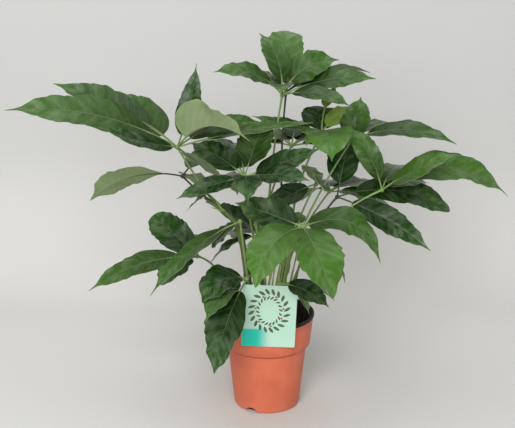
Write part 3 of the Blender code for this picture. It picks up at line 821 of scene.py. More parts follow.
@dataclass(frozen=True)
class MouldedPolypropylene:
    """Thin moulded polypropylene: an even, slightly waxy satin with faint dust and flow marks.

    Splashed dust pales its foot, and a painted shadow darkens the crease below the collar.
    """
    name: str = "terracotta_polypropylene_moulded"
    base: str = "d46f50"
    shade: str = "ca6547"
    dust: str = "cc8167"
    # Dark red of the painted shadow in the crease under the collar.
    crease_shadow: str = "823422"
    cloud_mm: float = 38.0
    spread: Pair = (0.38, 0.68)
    dust_height: float = 0.030
    dust_share: float = 0.35
    crease_shadow_from: float = -0.0055
    crease_shadow_full: float = -0.0015
    crease_shadow_end: float = 0.0006
    crease_shadow_share: float = 0.8
    grain_mm: float = 0.9
    flow_mm: float = 6.25
    flow_stretch: Triple = (1.0, 1.0, 0.12)
    roughness: Pair = (0.40, 0.54)

    def make(self) -> Material:
        """Build the pot's outer material.

        Returns:
            The material.
        """
        recipe = Recipe(self.name)
        height = recipe.axis("Z")
        cloud = recipe.noise(self.cloud_mm, 3.0)
        body = recipe.mix(recipe.ramp(cloud, *self.spread), self.base, self.shade)
        splash = recipe.ramp(height, self.dust_height, 0.0, high=self.dust_share)
        dusty = recipe.mix(splash, body, self.dust)
        # Painted shadow: a dark band just under the collar's step, where the collar's overhang shades the
        # body.
        nearing = recipe.ramp(height, STEP_HEIGHT + self.crease_shadow_from,
                              STEP_HEIGHT + self.crease_shadow_full, high=self.crease_shadow_share)
        below = recipe.calc("LESS_THAN", height, STEP_HEIGHT + self.crease_shadow_end)
        crease_shadowed = recipe.mix(recipe.calc("MULTIPLY", nearing, below), dusty, self.crease_shadow)
        flow = recipe.noise(self.flow_mm, 1.0, place=recipe.stretch(self.flow_stretch))
        relief = recipe.calc("ADD", recipe.noise(self.grain_mm), flow)
        return recipe.finish({
            "Base Color": crease_shadowed,
            "Roughness": recipe.ramp(cloud, low=self.roughness[0], high=self.roughness[1]),
            "Normal": recipe.bump(relief, strength=0.12, depth=0.0003),
            "IOR": 1.49, "Specular IOR Level": 0.35})


@dataclass(frozen=True)
class GreenBark:
    """Young green bark: olive green that browns towards the foot, with fine ridges and pores."""
    name: str = "umbrella_tree_bark_green"
    green: str = "4c5e28"
    brown: str = "463b20"
    pore: str = "6c7043"
    ridge_mm: float = 1.6
    ridge_stretch: Triple = (1.0, 1.0, 0.15)
    patch_mm: float = 14.286
    brown_heights: Pair = (0.30, 0.15)
    brown_share: float = 0.55
    brown_spread: Pair = (0.45, 1.05)
    pore_mm: float = 5.5
    pore_edge: Pair = (0.16, 0.08)
    pore_share: float = 0.8

    def make(self) -> Material:
        """Build the canes' material.

        Returns:
            The material.
        """
        recipe = Recipe(self.name)
        ridges = recipe.noise(self.ridge_mm, 3.0, place=recipe.stretch(self.ridge_stretch))
        lower = recipe.ramp(recipe.axis("Z"), *self.brown_heights, high=self.brown_share)
        browning = recipe.calc("ADD", lower, recipe.noise(self.patch_mm, 3.0))
        body = recipe.mix(recipe.ramp(browning, *self.brown_spread), self.green, self.brown)
        spots = recipe.ramp(recipe.cells(self.pore_mm), *self.pore_edge, high=self.pore_share)
        relief = recipe.calc("ADD", ridges, spots)
        return recipe.finish({
            "Base Color": recipe.mix(spots, body, self.pore), "Roughness": 0.55,
            "Normal": recipe.bump(relief, strength=0.5, depth=0.0005)})


@dataclass(frozen=True)
class StalkSkin:
    """Smooth living stalk: light yellow-green, some darkened to brown-black, softly glossy."""
    name: str = "leaf_stalk_green"
    light: str = "76914d"
    dark: str = "2a2a1d"
    streak_mm: float = 2.0
    streak_stretch: Triple = (1.0, 1.0, 0.2)
    streak_shift: Pair = (-0.12, 0.28)

    def make(self) -> Material:
        """Build the stalks' and midribs' material.

        Returns:
            The material.
        """
        recipe = Recipe(self.name)
        streaks = recipe.noise(self.streak_mm, place=recipe.stretch(self.streak_stretch))
        shift = recipe.ramp(streaks, low=self.streak_shift[0], high=self.streak_shift[1])
        darkness = recipe.calc("ADD", recipe.attribute("darkness"), shift, clamp=True)
        return recipe.finish({
            "Base Color": recipe.mix(darkness, self.light, self.dark), "Roughness": 0.42,
            "Normal": recipe.bump(streaks, strength=0.2, depth=0.0003)})


@dataclass(frozen=True)
class BladeTop:
    """Upper leaf skin: waxy dark green with a broad soft gloss and paler sunken veins.

    The blade is painted darker at its foot and lighter towards its tip, by the painted light share
    either way: painted shade and light where it turns from or towards the lamps. Painted sheen greys
    it in streaks along the side veins, most near the tip. The streaks lie on the vein map, so their size is
    in units of it.
    """
    name: str = "leaf_upper_skin_waxy"
    dark: str = "0b2806"
    bright: str = "396920"
    olive: str = "869a3c"
    vein: str = "6a8f4c"
    # Pale grey-green of the painted sheen: streaks standing in for the gloss's highlights.
    painted_sheen: str = "94a884"
    net_mm: float = 2.4
    net_edge: Pair = (0.07, 0.0)
    net_share: float = 0.10
    mottle_mm: float = 17.0
    mottle_detail: float = 4.0
    mottle_rough: float = 0.6
    mottle_spread: Pair = (0.3, 0.7)
    mottle_shift: float = 0.13
    # How far the painted shade at the blade's foot and the painted light at its tip shift its tone.
    painted_light_share: float = 0.34
    vein_start: float = 0.38
    vein_share: float = 0.14
    vein_sink: float = 1.4
    streak_size: float = 1000.0
    streak_detail: float = 3.0
    streak_rough: float = 0.6
    streak_stretch: Triple = (0.7, 2.0, 1.0)
    streak_spread: Pair = (0.42, 0.75)
    most_painted_sheen: float = 0.46
    roughness: Pair = (0.16, 0.33)

    def make(self) -> Material:
        """Build the upper skin's material.

        Returns:
            The material.
        """
        recipe = Recipe(self.name)
        along = recipe.attribute("along")
        mottle = recipe.noise(self.mottle_mm, self.mottle_detail, self.mottle_rough)
        shift = recipe.ramp(mottle, *self.mottle_spread, -self.mottle_shift, self.mottle_shift)
        # Painted light and shade: darker at the blade's foot and lighter towards its drooping tip.
        painted_light = recipe.ramp(along, low=-self.painted_light_share, high=self.painted_light_share)
        varied = recipe.calc("ADD", painted_light, shift)
        # The tone is partly the leaflet's age and partly painted shade and light.
        brightness = recipe.calc("ADD", recipe.attribute("tone"), varied, clamp=True)
        green = recipe.mix(brightness, self.dark, self.bright)
        aged = recipe.mix(recipe.attribute("olive"), green, self.olive)
        lines = recipe.vein_lines(self.vein_start, self.vein_share)
        net = recipe.cells(self.net_mm, "DISTANCE_TO_EDGE")
        net_lines = recipe.ramp(net, *self.net_edge, high=self.net_share)
        veined = recipe.mix(recipe.calc("MAXIMUM", lines, net_lines), aged, self.vein)
        # Painted sheen: grey streaks along the side veins, most near the tip, standing in for highlights on
        # the waxy gloss.
        streaks = recipe.noise(self.streak_size, self.streak_detail, self.streak_rough,
                               recipe.stretch(self.streak_stretch, recipe.vein_map()))
        sheen_streaks = recipe.ramp(streaks, *self.streak_spread)
        painted_sheen = recipe.calc("MULTIPLY", sheen_streaks, recipe.ramp(along, high=self.most_painted_sheen))
        sunken = recipe.calc("MULTIPLY_ADD", lines, -self.vein_sink, mottle)
        return recipe.finish({
            "Base Color": recipe.mix(painted_sheen, veined, self.painted_sheen),
            "Roughness": recipe.ramp(mottle, low=self.roughness[0], high=self.roughness[1]),
            "Normal": recipe.bump(recipe.calc("ADD", net, sunken), strength=0.35, depth=0.0008),
            "IOR": 1.38, "Specular IOR Level": 0.30})


@dataclass(frozen=True)
class BladeUnderside:
    """Lower leaf skin: pale grey-green, dull, with raised veins that are paler still."""
    name: str = "leaf_lower_skin_matt"
    base: str = "7e8c66"
    deep: str = "5f7a4c"
    vein: str = "a3b385"
    net_mm: float = 2.4
    mottle_mm: float = 21.0
    vein_start: float = 0.42
    vein_share: float = 0.22

    def make(self) -> Material:
        """Build the lower skin's material.

        Returns:
            The material.
        """
        recipe = Recipe(self.name)
        mottle = recipe.noise(self.mottle_mm, 4.0)
        # The tone is partly the leaflet's age and partly painted shade and light.
        brightness = recipe.calc("ADD", recipe.attribute("tone"), mottle, clamp=True)
        body = recipe.mix(brightness, self.deep, self.base)
        lines = recipe.vein_lines(self.vein_start, self.vein_share)
        raised = recipe.calc("SUBTRACT", lines, recipe.cells(self.net_mm, "DISTANCE_TO_EDGE"))
        return recipe.finish({
            "Base Color": recipe.mix(lines, body, self.vein),
            "Roughness": 0.62, "Specular IOR Level": 0.3,
            "Normal": recipe.bump(raised, strength=0.35, depth=0.0006)})


@dataclass(frozen=True)
class PrintedCard:
    """Laminated label card: mint ground that runs to turquoise low on the left, satin film.

    The corner's two spans start from the card's left edge and from its foot.
    """
    name: str = "label_card_laminated_mint"
    mint: str = "a9d8c1"
    pale: str = "c3dccb"
    turquoise: str = "0bc0ae"
    left: float = 0.0
    foot: float = 0.0
    across: Pair = (0.052, 0.024)
    above: Pair = (0.0365, 0.034)
    cloud_mm: float = 35.71
    fibre_mm: float = 1.2

    def make(self) -> Material:
        """Build the card's material.

        Returns:
            The material.
        """
        recipe = Recipe(self.name)
        ground = recipe.mix(recipe.noise(self.cloud_mm), self.mint, self.pale)
        sideways = recipe.ramp(recipe.axis("X"), *(self.left + end for end in self.across), smooth=True)
        upright = recipe.ramp(recipe.axis("Z"), *(self.foot + end for end in self.above))
        corner = recipe.calc("MULTIPLY", sideways, upright)
        return recipe.finish({
            "Base Color": recipe.mix(corner, ground, self.turquoise), "Roughness": 0.38,
            "Normal": recipe.bump(recipe.noise(self.fibre_mm), strength=0.06, depth=0.0002)})


@dataclass(frozen=True)
class StudioPaper:
    """Plain seamless backdrop paper: pale warm grey, matt, with a very faint cloudiness.

    It shows on its front only, so the plant can also be looked at from behind.
    """
    name: str = "studio_backdrop_paper"
    base: str = "cdcdcc"
    shade: str = "c8c8c7"
    # Lighter tone of the floor: painted light where the lamps leave the floor darker than the wall.
    floor: str = "d6d5d2"
    floor_end: float = 0.45
    cloud_mm: float = 454.5

    def make(self) -> Material:
        """Build the backdrop's material.

        Returns:
            The material.
        """
        recipe = Recipe(self.name)
        wall = recipe.mix(recipe.noise(self.cloud_mm), self.base, self.shade)
        # Painted light: the paper turns lighter from the cove down onto the floor.
        low = recipe.ramp(recipe.axis("Z"), self.floor_end, 0.0, smooth=True)
        behind = recipe.node("NewGeometry").outputs["Backfacing"]
        clear = recipe.node("BsdfTransparent").outputs[0]
        sheet = recipe.node("MixShader", {0: behind, 1: recipe.shader.outputs[0], 2: clear})
        fill_inputs(recipe.tree, recipe.tree.nodes["Material Output"], {"Surface": sheet.outputs[0]})
        return recipe.finish({
            "Base Color": recipe.mix(low, wall, self.floor), "Roughness": 0.85})


@dataclass
class NurseryPot:
    """The moulded pot: finer steps on the same profile, a black lining and a black lip.

    The mouldings are (radius, height) points, over the step or over the foot of the lip.
    """
    sides: int = 144
    lip_round: float = 0.0009
    base_round: float = 0.0042
    round_steps: int = 5
    base_flare: float = 0.0003
    body_marks: tuple[float, ...] = (0.022, 0.05, 0.08, STEP_HEIGHT - 0.002)
    step_moulding: tuple[Pair, ...] = (
        (BODY_TOP_RADIUS + 0.0010, -0.0016), (COLLAR_RADIUS - 0.0012, -0.0006),
        (COLLAR_RADIUS, 0.0008))
    collar_marks: tuple[float, ...] = (0.33, 0.66, 1.0)
    collar_top: float = LIP_FOOT - 0.0010
    lip_moulding: tuple[Pair, ...] = ((RIM_RADIUS - 0.0003, 0.0), (RIM_RADIUS, 0.0006))
    mouth_round: float = 0.0005
    black_below_lip: float = 0.0004
    notch_sides: int = 48
    notch_depth: float = 0.03
    sharp: float = 50.0

    def profile(self) -> list[Pair]:
        """Work out the wall's outline.

        Returns:
            (radius, height) points from the middle of the bottom, up outside and down inside.
        """
        neck = RIM_RADIUS - LIP_OVERHANG
        base = (BASE_RADIUS - self.base_round + self.base_flare, self.base_round)
        lip = (RIM_RADIUS - self.lip_round, POT_HEIGHT - self.lip_round)
        points = [(0.0, 0.0), *quarter_round(base, self.base_round, -90, self.round_steps)]
        points += [(BASE_RADIUS + (BODY_TOP_RADIUS - BASE_RADIUS) * height / STEP_HEIGHT, height)
                   for height in self.body_marks]
        points += [(radius, STEP_HEIGHT + height) for radius, height in self.step_moulding]
        start = points[-1][1]
        points += [(COLLAR_RADIUS + (neck - COLLAR_RADIUS) * share,
                    start + (self.collar_top - start) * share) for share in self.collar_marks]
        points += [(radius, LIP_FOOT + height) for radius, height in self.lip_moulding]
        points += quarter_round(lip, self.lip_round, 0, self.round_steps)
        points += [(neck - WALL + self.mouth_round, POT_HEIGHT),
                   (neck - WALL, POT_HEIGHT - self.mouth_round),
                   (BODY_TOP_RADIUS - WALL, STEP_HEIGHT), (BASE_RADIUS - WALL, FLOOR), (0.0, FLOOR)]
        return points

    def cut_notches(self, pot: Object) -> None:
        """Cut the drain notches out of the foot.

        Args:
            pot: The pot, whose mesh is replaced.
        """
        group = bpy.data.collections.new("drain_notches")
        bpy.context.scene.collection.children.link(group)
        for bearing in NOTCH_BEARINGS:
            bm = bmesh.new()
            lay = Matrix.Rotation(math.radians(90), 4, "Y")
            out = Matrix.Translation((BASE_RADIUS + NOTCH_OUT, 0, -NOTCH_SINK))
            turn = Matrix.Rotation(math.radians(bearing), 4, "Z")
            bmesh.ops.create_cone(bm, cap_ends=True, segments=self.notch_sides, radius1=NOTCH_RADIUS,
                                  radius2=NOTCH_RADIUS, depth=self.notch_depth,
                                  matrix=turn @ out @ lay)
            mesh = bpy.data.meshes.new("notch")
            bm.to_mesh(mesh)
            bm.free()
            group.objects.link(bpy.data.objects.new("notch", mesh))
        cut = pot.modifiers.new("notches", "BOOLEAN")
        cut.operation = "DIFFERENCE"
        cut.operand_type = "COLLECTION"
        cut.collection = group
        graph = bpy.context.evaluated_depsgraph_get()
        mesh = bpy.data.meshes.new_from_object(pot.evaluated_get(graph))
        pot.modifiers.clear()
        pot.data = mesh
        for cutter in list(group.objects):
            bpy.data.objects.remove(cutter, do_unlink=True)
        bpy.data.collections.remove(group)

    def build(self) -> Object:
        """Turn the wall, cut its notches and dress its outside and its lining.

        Returns:
            The pot.
        """
        pot = keep_object(spin_profile(self.profile(), self.sides), "nursery_pot",
                          [MouldedPolypropylene().make(), BlackLining().make()], self.sharp)
        self.cut_notches(pot)
        for face in pot.data.polygons:
            height = face.center.z
            inside = math.hypot(face.center.x, face.center.y) < (
                inner_radius(max(height, FLOOR)) + WALL / 2)
            lined = height > LIP_FOOT - self.black_below_lip or (inside and height > FLOOR / 2)
            face.material_index = PotSlot.LINING if lined else PotSlot.OUTSIDE
        shade(pot.data, self.sharp)
        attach(pot, "root")
        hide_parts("pot")
        return pot


@dataclass(frozen=True)
class Grains:
    """One kind of small lumps on the soil: how many, how large and how deep in it."""
    name: str
    count: int
    smallest: float
    largest: float
    sink: float


@dataclass
class SoilFill:
    """The soil: a lumpy top with crumbs, perlite and a few fibres lying on it."""
    rings: int = 40
    sides: int = 120
    lump: float = 0.0016
    lump_mm: float = 9.0
    lump_slice: float = 0.3
    lump_fade: float = 0.7
    lump_finer: float = 2.1
    lump_layers: int = 4
    edge_lumps: float = 0.25
    edge_slope: float = 6.0
    crumbs: Grains = Grains("soil_crumbs", 520, 0.0008, 0.0026, 0.25)
    perlite: Grains = Grains("perlite_grains", 46, 0.0008, 0.0019, 0.1)
    swing: Pair = (-0.3, 0.3)
    pull: Pair = (0.92, 1.0)
    breadth: Pair = (0.6, 1.0)
    flatness: Pair = (0.5, 0.9)
    roughen: float = 0.18
    fibres: int = 26
    fibre_radius: float = 0.00028
    fibre_points: int = 6
    fibre_sides: int = 5
    fibre_lift: float = 0.0004
    fibre_arch: float = 0.0016
    fibre_margin: float = 0.014
    fibre_length: Pair = (0.006, 0.014)
    fibre_bend: Pair = (-1.2, 1.2)
    seed: int = 11

    def top(self, x: float, y: float) -> float:
        """Give the height of the soil's top at a place.

        Args:
            x: The place along X.
            y: The place along Y.

        Returns:
            The height, lumpy and a little higher in the middle.
        """
        share = 1 - min(math.hypot(x, y) / inner_radius(SOIL_HEIGHT), 1)
        lumps = noise.fractal(Vector((x, y, self.lump_slice)) * (1000 / self.lump_mm),
                              self.lump_fade, self.lump_finer, self.lump_layers)
        calm = min(1, self.edge_slope * share + self.edge_lumps)
        return SOIL_HEIGHT + SOIL_CROWN * share + self.lump * lumps * calm

    def build_fill(self, material: Material) -> Object:
        """Build the body of the soil.

        Args:
            material: The soil's material.

        Returns:
            The soil.
        """
        low = FLOOR + GAP
        edge = inner_radius(SOIL_HEIGHT) - 2 * GAP
        profile = [(0.0, low), (inner_radius(low) - 2 * GAP, low),
                   (inner_radius(STEP_HEIGHT) - 2 * GAP, STEP_HEIGHT), (edge, SOIL_HEIGHT)]
        profile += [(edge * (1 - index / self.rings), SOIL_HEIGHT + GAP)
                    for index in range(1, self.rings)]
        profile.append((0.0, SOIL_HEIGHT + GAP))
        bm = spin_profile(profile, self.sides)
        for vert in bm.verts:
            if vert.co.z > SOIL_HEIGHT + GAP / 2:
                vert.co.z = self.top(vert.co.x, vert.co.y)
        return keep_object(bm, "peat_soil", [material], sharp=80.0)

    def scatter(self, grains: Grains, material: Material, draw: random.Random) -> Object:
        """Lay small lumps over the soil on a sunflower spiral with a seeded jitter.

        Args:
            grains: What is laid.
            material: Its material.
            draw: The seeded random source.

        Returns:
            The lumps as one piece.
        """
        reach = inner_radius(SOIL_HEIGHT) - 2 * GAP - grains.largest
        whole = bmesh.new()
        for number in range(grains.count):
            x, y = sunflower(number, grains.count, reach, draw.uniform(*self.swing),
                             draw.uniform(*self.pull))
            radius = grains.smallest + (grains.largest - grains.smallest) * draw.random() ** 2
            turn = Matrix.Rotation(draw.uniform(0, math.tau), 4, "Z") @ Matrix.Rotation(
                draw.uniform(0, math.pi), 4, "X")
            size = Matrix.Diagonal((1.0, draw.uniform(*self.breadth), draw.uniform(*self.flatness),
                                    1.0))
            place = Matrix.Translation((x, y, self.top(x, y) + radius * (0.5 - grains.sink)))
            piece = bmesh.new()
            bmesh.ops.create_icosphere(piece, subdivisions=1, radius=radius,
                                       matrix=place @ turn @ size)
            for vert in piece.verts:
                jolt = Vector((draw.uniform(-1, 1), draw.uniform(-1, 1), draw.uniform(-1, 1)))
                vert.co += jolt * radius * self.roughen
            merge_into(whole, piece)
        return keep_object(whole, grains.name, [material], sharp=35.0)

    def build_fibres(self, material: Material, draw: random.Random) -> Object:
        """Lay short curved coir fibres on the soil.

        Args:
            material: Their material.
            draw: The seeded random source.

        Returns:
            The fibres as one piece.
        """
        whole = bmesh.new()
        reach = inner_radius(SOIL_HEIGHT) - self.fibre_margin
        for number in range(self.fibres):
            start = Vector((*sunflower(number, self.fibres, reach), 0))
            first = draw.uniform(0, math.tau)
            length = draw.uniform(*self.fibre_length)
            bend = draw.uniform(*self.fibre_bend)
            path = []
            for index in range(self.fibre_points):
                share = index / (self.fibre_points - 1)
                turn = first + bend * share
                point = start + Vector((math.cos(turn), math.sin(turn), 0)) * length * (share - 0.5)
                point.z = (self.top(point.x, point.y) + self.fibre_lift
                           + self.fibre_arch * math.sin(math.pi * share))
                path.append(point)
            merge_into(whole, sweep(path, [self.fibre_radius] * len(path), self.fibre_sides, UP))
        return keep_object(whole, "soil_fibres", [material], sharp=60.0)

    def build(self) -> list[Object]:
        """Build the soil and what lies on it.

        Returns:
            The soil, the crumbs, the perlite and the fibres.
        """
        draw = random.Random(self.seed)
        peat = PeatSoil().make()
        soil = self.build_fill(peat)
        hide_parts("soil")
        pieces = [soil, self.scatter(self.crumbs, peat, draw),
                  self.scatter(self.perlite, ExpandedPerlite().make(), draw),
                  self.build_fibres(CoirFibre().make(), draw)]
        for piece in pieces:
            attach(piece, "root")
        return pieces


@dataclass
class LabelCard:
    """The card over the rim: rounded corners, a tongue into the soil and a printed leaf ring.

    The ring is two rows of leaves, each row given by its reach, its leaf length and its swing
    in degrees from the ring's own direction. Coral berries stand between them.
    """
    width: float = 0.093
    height: float = 0.119
    thick: float = 0.0008
    corner: float = 0.003
    corner_steps: int = 6
    centre_x: float = 0.0035
    foot_z: float = 0.1405
    lean: float = 8.0
    turn: float = 2.0
    tongue_width: float = 0.018
    tongue_reach: float = 0.0155
    tongue_depth: float = 0.040
    ink_thick: float = 0.00006
    ink_sides: int = 14
    ink_point: float = 0.25
    ring_leaves: int = 20
    ring_reach: float = 0.024
    ring_height: float = 0.070
    ring_stretch: float = 1.25
    rows: tuple[Triple, ...] = ((0.0232, 0.00837, 58), (0.0252, 0.0135, -52))
    slimness: float = 0.4
    berry: float = 0.0044
    berry_every: int = 3

    def back(self, height: float) -> float:
        """Give how far forward the card's back stands at a height."""
        return -RIM_RADIUS - GAP - (height - LIP_FOOT) * math.tan(math.radians(self.lean))

    def stand(self, bm: BMesh) -> None:
        """Move a flat shape drawn in (x, depth, height) onto the leaning card.

        Args:
            bm: The shape, whose Y is how far it stands in front of the card's back.
        """
        turn = Matrix.Rotation(math.radians(self.turn), 3, "Y")
        middle = Vector((0, 0, self.height / 2))
        for vert in bm.verts:
            flat = middle + turn @ (Vector((vert.co.x, 0, vert.co.z)) - middle)
            height = self.foot_z + flat.z
            vert.co = Vector((self.centre_x + flat.x, self.back(height) - vert.co.y, height))

    def build_card(self) -> Object:
        """Build the card with its tongue.

        Returns:
            The card.
        """
        bm = bmesh.new()
        size = Matrix.Diagonal((self.width / 2, self.height / 2, 1, 1))
        lay = Matrix.Rotation(math.radians(90), 4, "X")
        bmesh.ops.create_grid(bm, x_segments=1, y_segments=1, size=1.0,
                              matrix=Matrix.Translation((0, 0, self.height / 2)) @ lay @ size)
        bmesh.ops.bevel(bm, geom=bm.verts[:], offset=self.corner, offset_type="OFFSET",
                        segments=self.corner_steps, profile=0.5, affect="VERTICES", material=-1)
        thicken(bm, (0, self.thick, 0))
        self.stand(bm)
        bmesh.ops.recalc_face_normals(bm, faces=bm.faces[:])
        merge_into(bm, self.build_tongue())
        finish = PrintedCard(left=self.centre_x - self.width / 2, foot=self.foot_z)
        return keep_object(bm, "label_card", [finish.make()], sharp=40.0)

    def build_tongue(self) -> BMesh:
        """Build the tongue that hooks over the lip and goes down into the soil.

        Returns:
            The closed tongue.
        """
        under = POT_HEIGHT + GAP
        over = under + self.thick
        inside = self.back(under) + self.tongue_reach
        foot = under - self.tongue_depth
        left = self.centre_x - self.tongue_width / 2
        side = [(self.back(under) - self.thick / 2, under), (inside, under), (inside, foot),
                (inside + self.thick, foot), (inside + self.thick, over),
                (self.back(over) - self.thick / 2, over)]
        bm = bmesh.new()
        bm.faces.new([bm.verts.new((left, y, z)) for y, z in side])
        thicken(bm, (self.tongue_width, 0, 0))
        bmesh.ops.recalc_face_normals(bm, faces=bm.faces[:])
        return bm

    def printed_leaf(self, x: float, z: float, length: float, width: float, angle: float) -> BMesh:
        """Draw one pointed oval in ink on the card's front.

        Args:
            x: Place of its foot across the card, from the card's middle.
            z: Place of its foot above the card's lower edge.
            length: How long it is.
            width: How wide it is.
            angle: Its direction in degrees, 0 to the right and 90 upwards.

        Returns:
            The oval, standing on the card.
        """
        bm = bmesh.new()
        bmesh.ops.create_circle(bm, cap_ends=True, radius=0.5, segments=self.ink_sides)
        for vert in bm.verts:
            along = vert.co.x + 0.5
            pointed = math.sin(math.pi * min(max(along, 0.0), 1.0)) ** self.ink_point
            vert.co = Vector((along * length, vert.co.y * width * pointed, 0))
        turn = Matrix.Rotation(math.radians(angle), 4, "Z")
        lay = Matrix.Rotation(math.radians(90), 4, "X")
        place = Matrix.Translation((x, self.thick, z))
        bmesh.ops.transform(bm, matrix=place @ lay @ turn, verts=bm.verts[:])
        thicken(bm, (0, self.ink_thick, 0))
        self.stand(bm)
        bmesh.ops.recalc_face_normals(bm, faces=bm.faces[:])
        return bm

    def on_ring(self, number: float, reach: float) -> Pair:
        """Give the place across and up the card of a numbered spot on the oval ring."""
        angle = math.tau * number / self.ring_leaves
        return reach * math.cos(angle), self.ring_height + self.ring_stretch * reach * math.sin(angle)

    def build_leaf_ring(self) -> Object:
        """Print a plain oval ring of small leaves in two rows, in grey-green.

        Returns:
            The leaves as one piece.
        """
        whole = bmesh.new()
        for number in range(self.ring_leaves):
            for reach, length, swing in self.rows:
                angle = 360 * number / self.ring_leaves + 90 + swing
                merge_into(whole, self.printed_leaf(
                    *self.on_ring(number, reach), length, length * self.slimness, angle))
        ink = PrintInk("label_ink_grey_green", "587058", "34493a")
        return keep_object(whole, "label_print_leaves", [ink.make()], sharp=30.0)

    def build_berries(self) -> Object:
        """Print coral berries between the leaves of the ring.

        Returns:
            The berries as one piece.
        """
        whole = bmesh.new()
        for number in range(0, self.ring_leaves, self.berry_every):
            x, z = self.on_ring(number + 0.5, self.ring_reach)
            merge_into(whole, self.printed_leaf(x - self.berry / 2, z, self.berry, self.berry, 0))
        ink = PrintInk("label_ink_coral", "c9654a", "b8573f")
        return keep_object(whole, "label_print_berries", [ink.make()], sharp=30.0)

    def build(self) -> list[Object]:
        """Build the card and its print.

        Returns:
            The card, the leaf ring and the berries.
        """
        pieces = [self.build_card(), self.build_leaf_ring(), self.build_berries()]
        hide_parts("plant_label")
        for piece in pieces:
            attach(piece, "root")
        return pieces


@dataclass
class Sheath:
    """One pointed stipule: a thin scale that clasps a bud or the foot of a leaf stalk."""
    back: float = 0.004
    length: float = 0.023
    width: float = 0.0052
    thick: float = 0.0011
    standoff: float = 0.00154
    flare: float = 0.0060
    foot_share: float = 0.55
    swell: float = 1.1
    taper: float = 0.7
    point: float = 0.0002
    sides: int = 12
    steps: int = 10

    def build(self, tip: Vector, along: Vector, out: Vector) -> BMesh:
        """Build the stipule as a tube that is pressed flat.

        Args:
            tip: The place that it clasps.
            along: The direction that it points in.
            out: The side that it stands on, at a right angle to its direction.

        Returns:
            The closed scale.
        """
        path, radii = [], []
        for index in range(self.steps + 1):
            share = index / self.steps
            clasp = self.standoff + self.flare * share * share
            path.append(tip + along * (self.length * share - self.back) + out * clasp)
            belly = (1 - share) ** self.taper * (self.foot_share + self.swell * share)
            radii.append(self.width * belly + self.point)
        bm = sweep(path, radii, self.sides, out)
        bm.verts.ensure_lookup_table()
        for index, vert in enumerate(bm.verts):
            offset = (vert.co - path[index // self.sides]).dot(out)
            vert.co -= out * (offset * (1 - self.thick / self.width))
        return bm


@dataclass
class YoungStems:
    """Thin young stems between the canes, each ending in a closed pointed bud."""
    count: int = 16
    centre: Pair = (0.010, -0.008)
    spread: float = 0.026
    sink: float = 0.006
    lean: Pair = (0.034, -0.006)
    lean_sideways: Pair = (0.7, 1.2)
    lean_forwards: Pair = (0.5, 1.5)
    belly: float = -0.006
    belly_spread: Pair = (0.4, 1.2)
    top: float = 0.325
    rise: float = 0.035
    radius: float = 0.0016
    thinning: float = 0.35
    bud_radius: float = 0.0022
    bud_place: float = 0.93
    bud_length: float = 0.04
    tip_steepness: float = 25.0
    tip_share: float = 0.12
    steps: int = 14
    sides: int = 10
    seed: int = 5

    def radius_at(self, share: float) -> float:
        """Give a stem's radius, which thins upwards and swells at its bud.

        Args:
            share: The place, as a share of the stem's length.

        Returns:
            The radius.
        """
        bud = math.exp(-((share - self.bud_place) / self.bud_length) ** 2)
        point = min(1, (1 - share) * self.tip_steepness + self.tip_share)
        thin = self.radius * (1 - self.thinning * share) * point
        return thin + (self.bud_radius - self.radius * (1 - self.thinning)) * bud

    def build(self, skin: Material) -> Object:
        """Build the stems on a sunflower spiral, all leaning the same way.

        Args:
            skin: The stems' material.

        Returns:
            The stems as one piece.
        """
        draw = random.Random(self.seed)
        whole = bmesh.new()
        for number in range(self.count):
            x, y = sunflower(number, self.count, self.spread)
            foot = Vector((self.centre[0] + x, self.centre[1] + y, SOIL_HEIGHT - self.sink))
            height = self.top + self.rise * draw.random()
            head = Vector((foot.x + self.lean[0] * draw.uniform(*self.lean_sideways),
                           foot.y + self.lean[1] * draw.uniform(*self.lean_forwards), height))
            bulge = Vector((self.belly, 0, 0)) * draw.uniform(*self.belly_spread)
            path = smooth_curve([foot, foot.lerp(head, 0.5) + bulge, head], self.steps)
            radii = [self.radius_at(index / (len(path) - 1)) for index in range(len(path))]
            merge_into(whole, sweep(path, radii, self.sides, BACKWARD))
        stems = keep_object(whole, "young_stems", [skin], sharp=60.0)
        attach(stems, "root")
        return stems


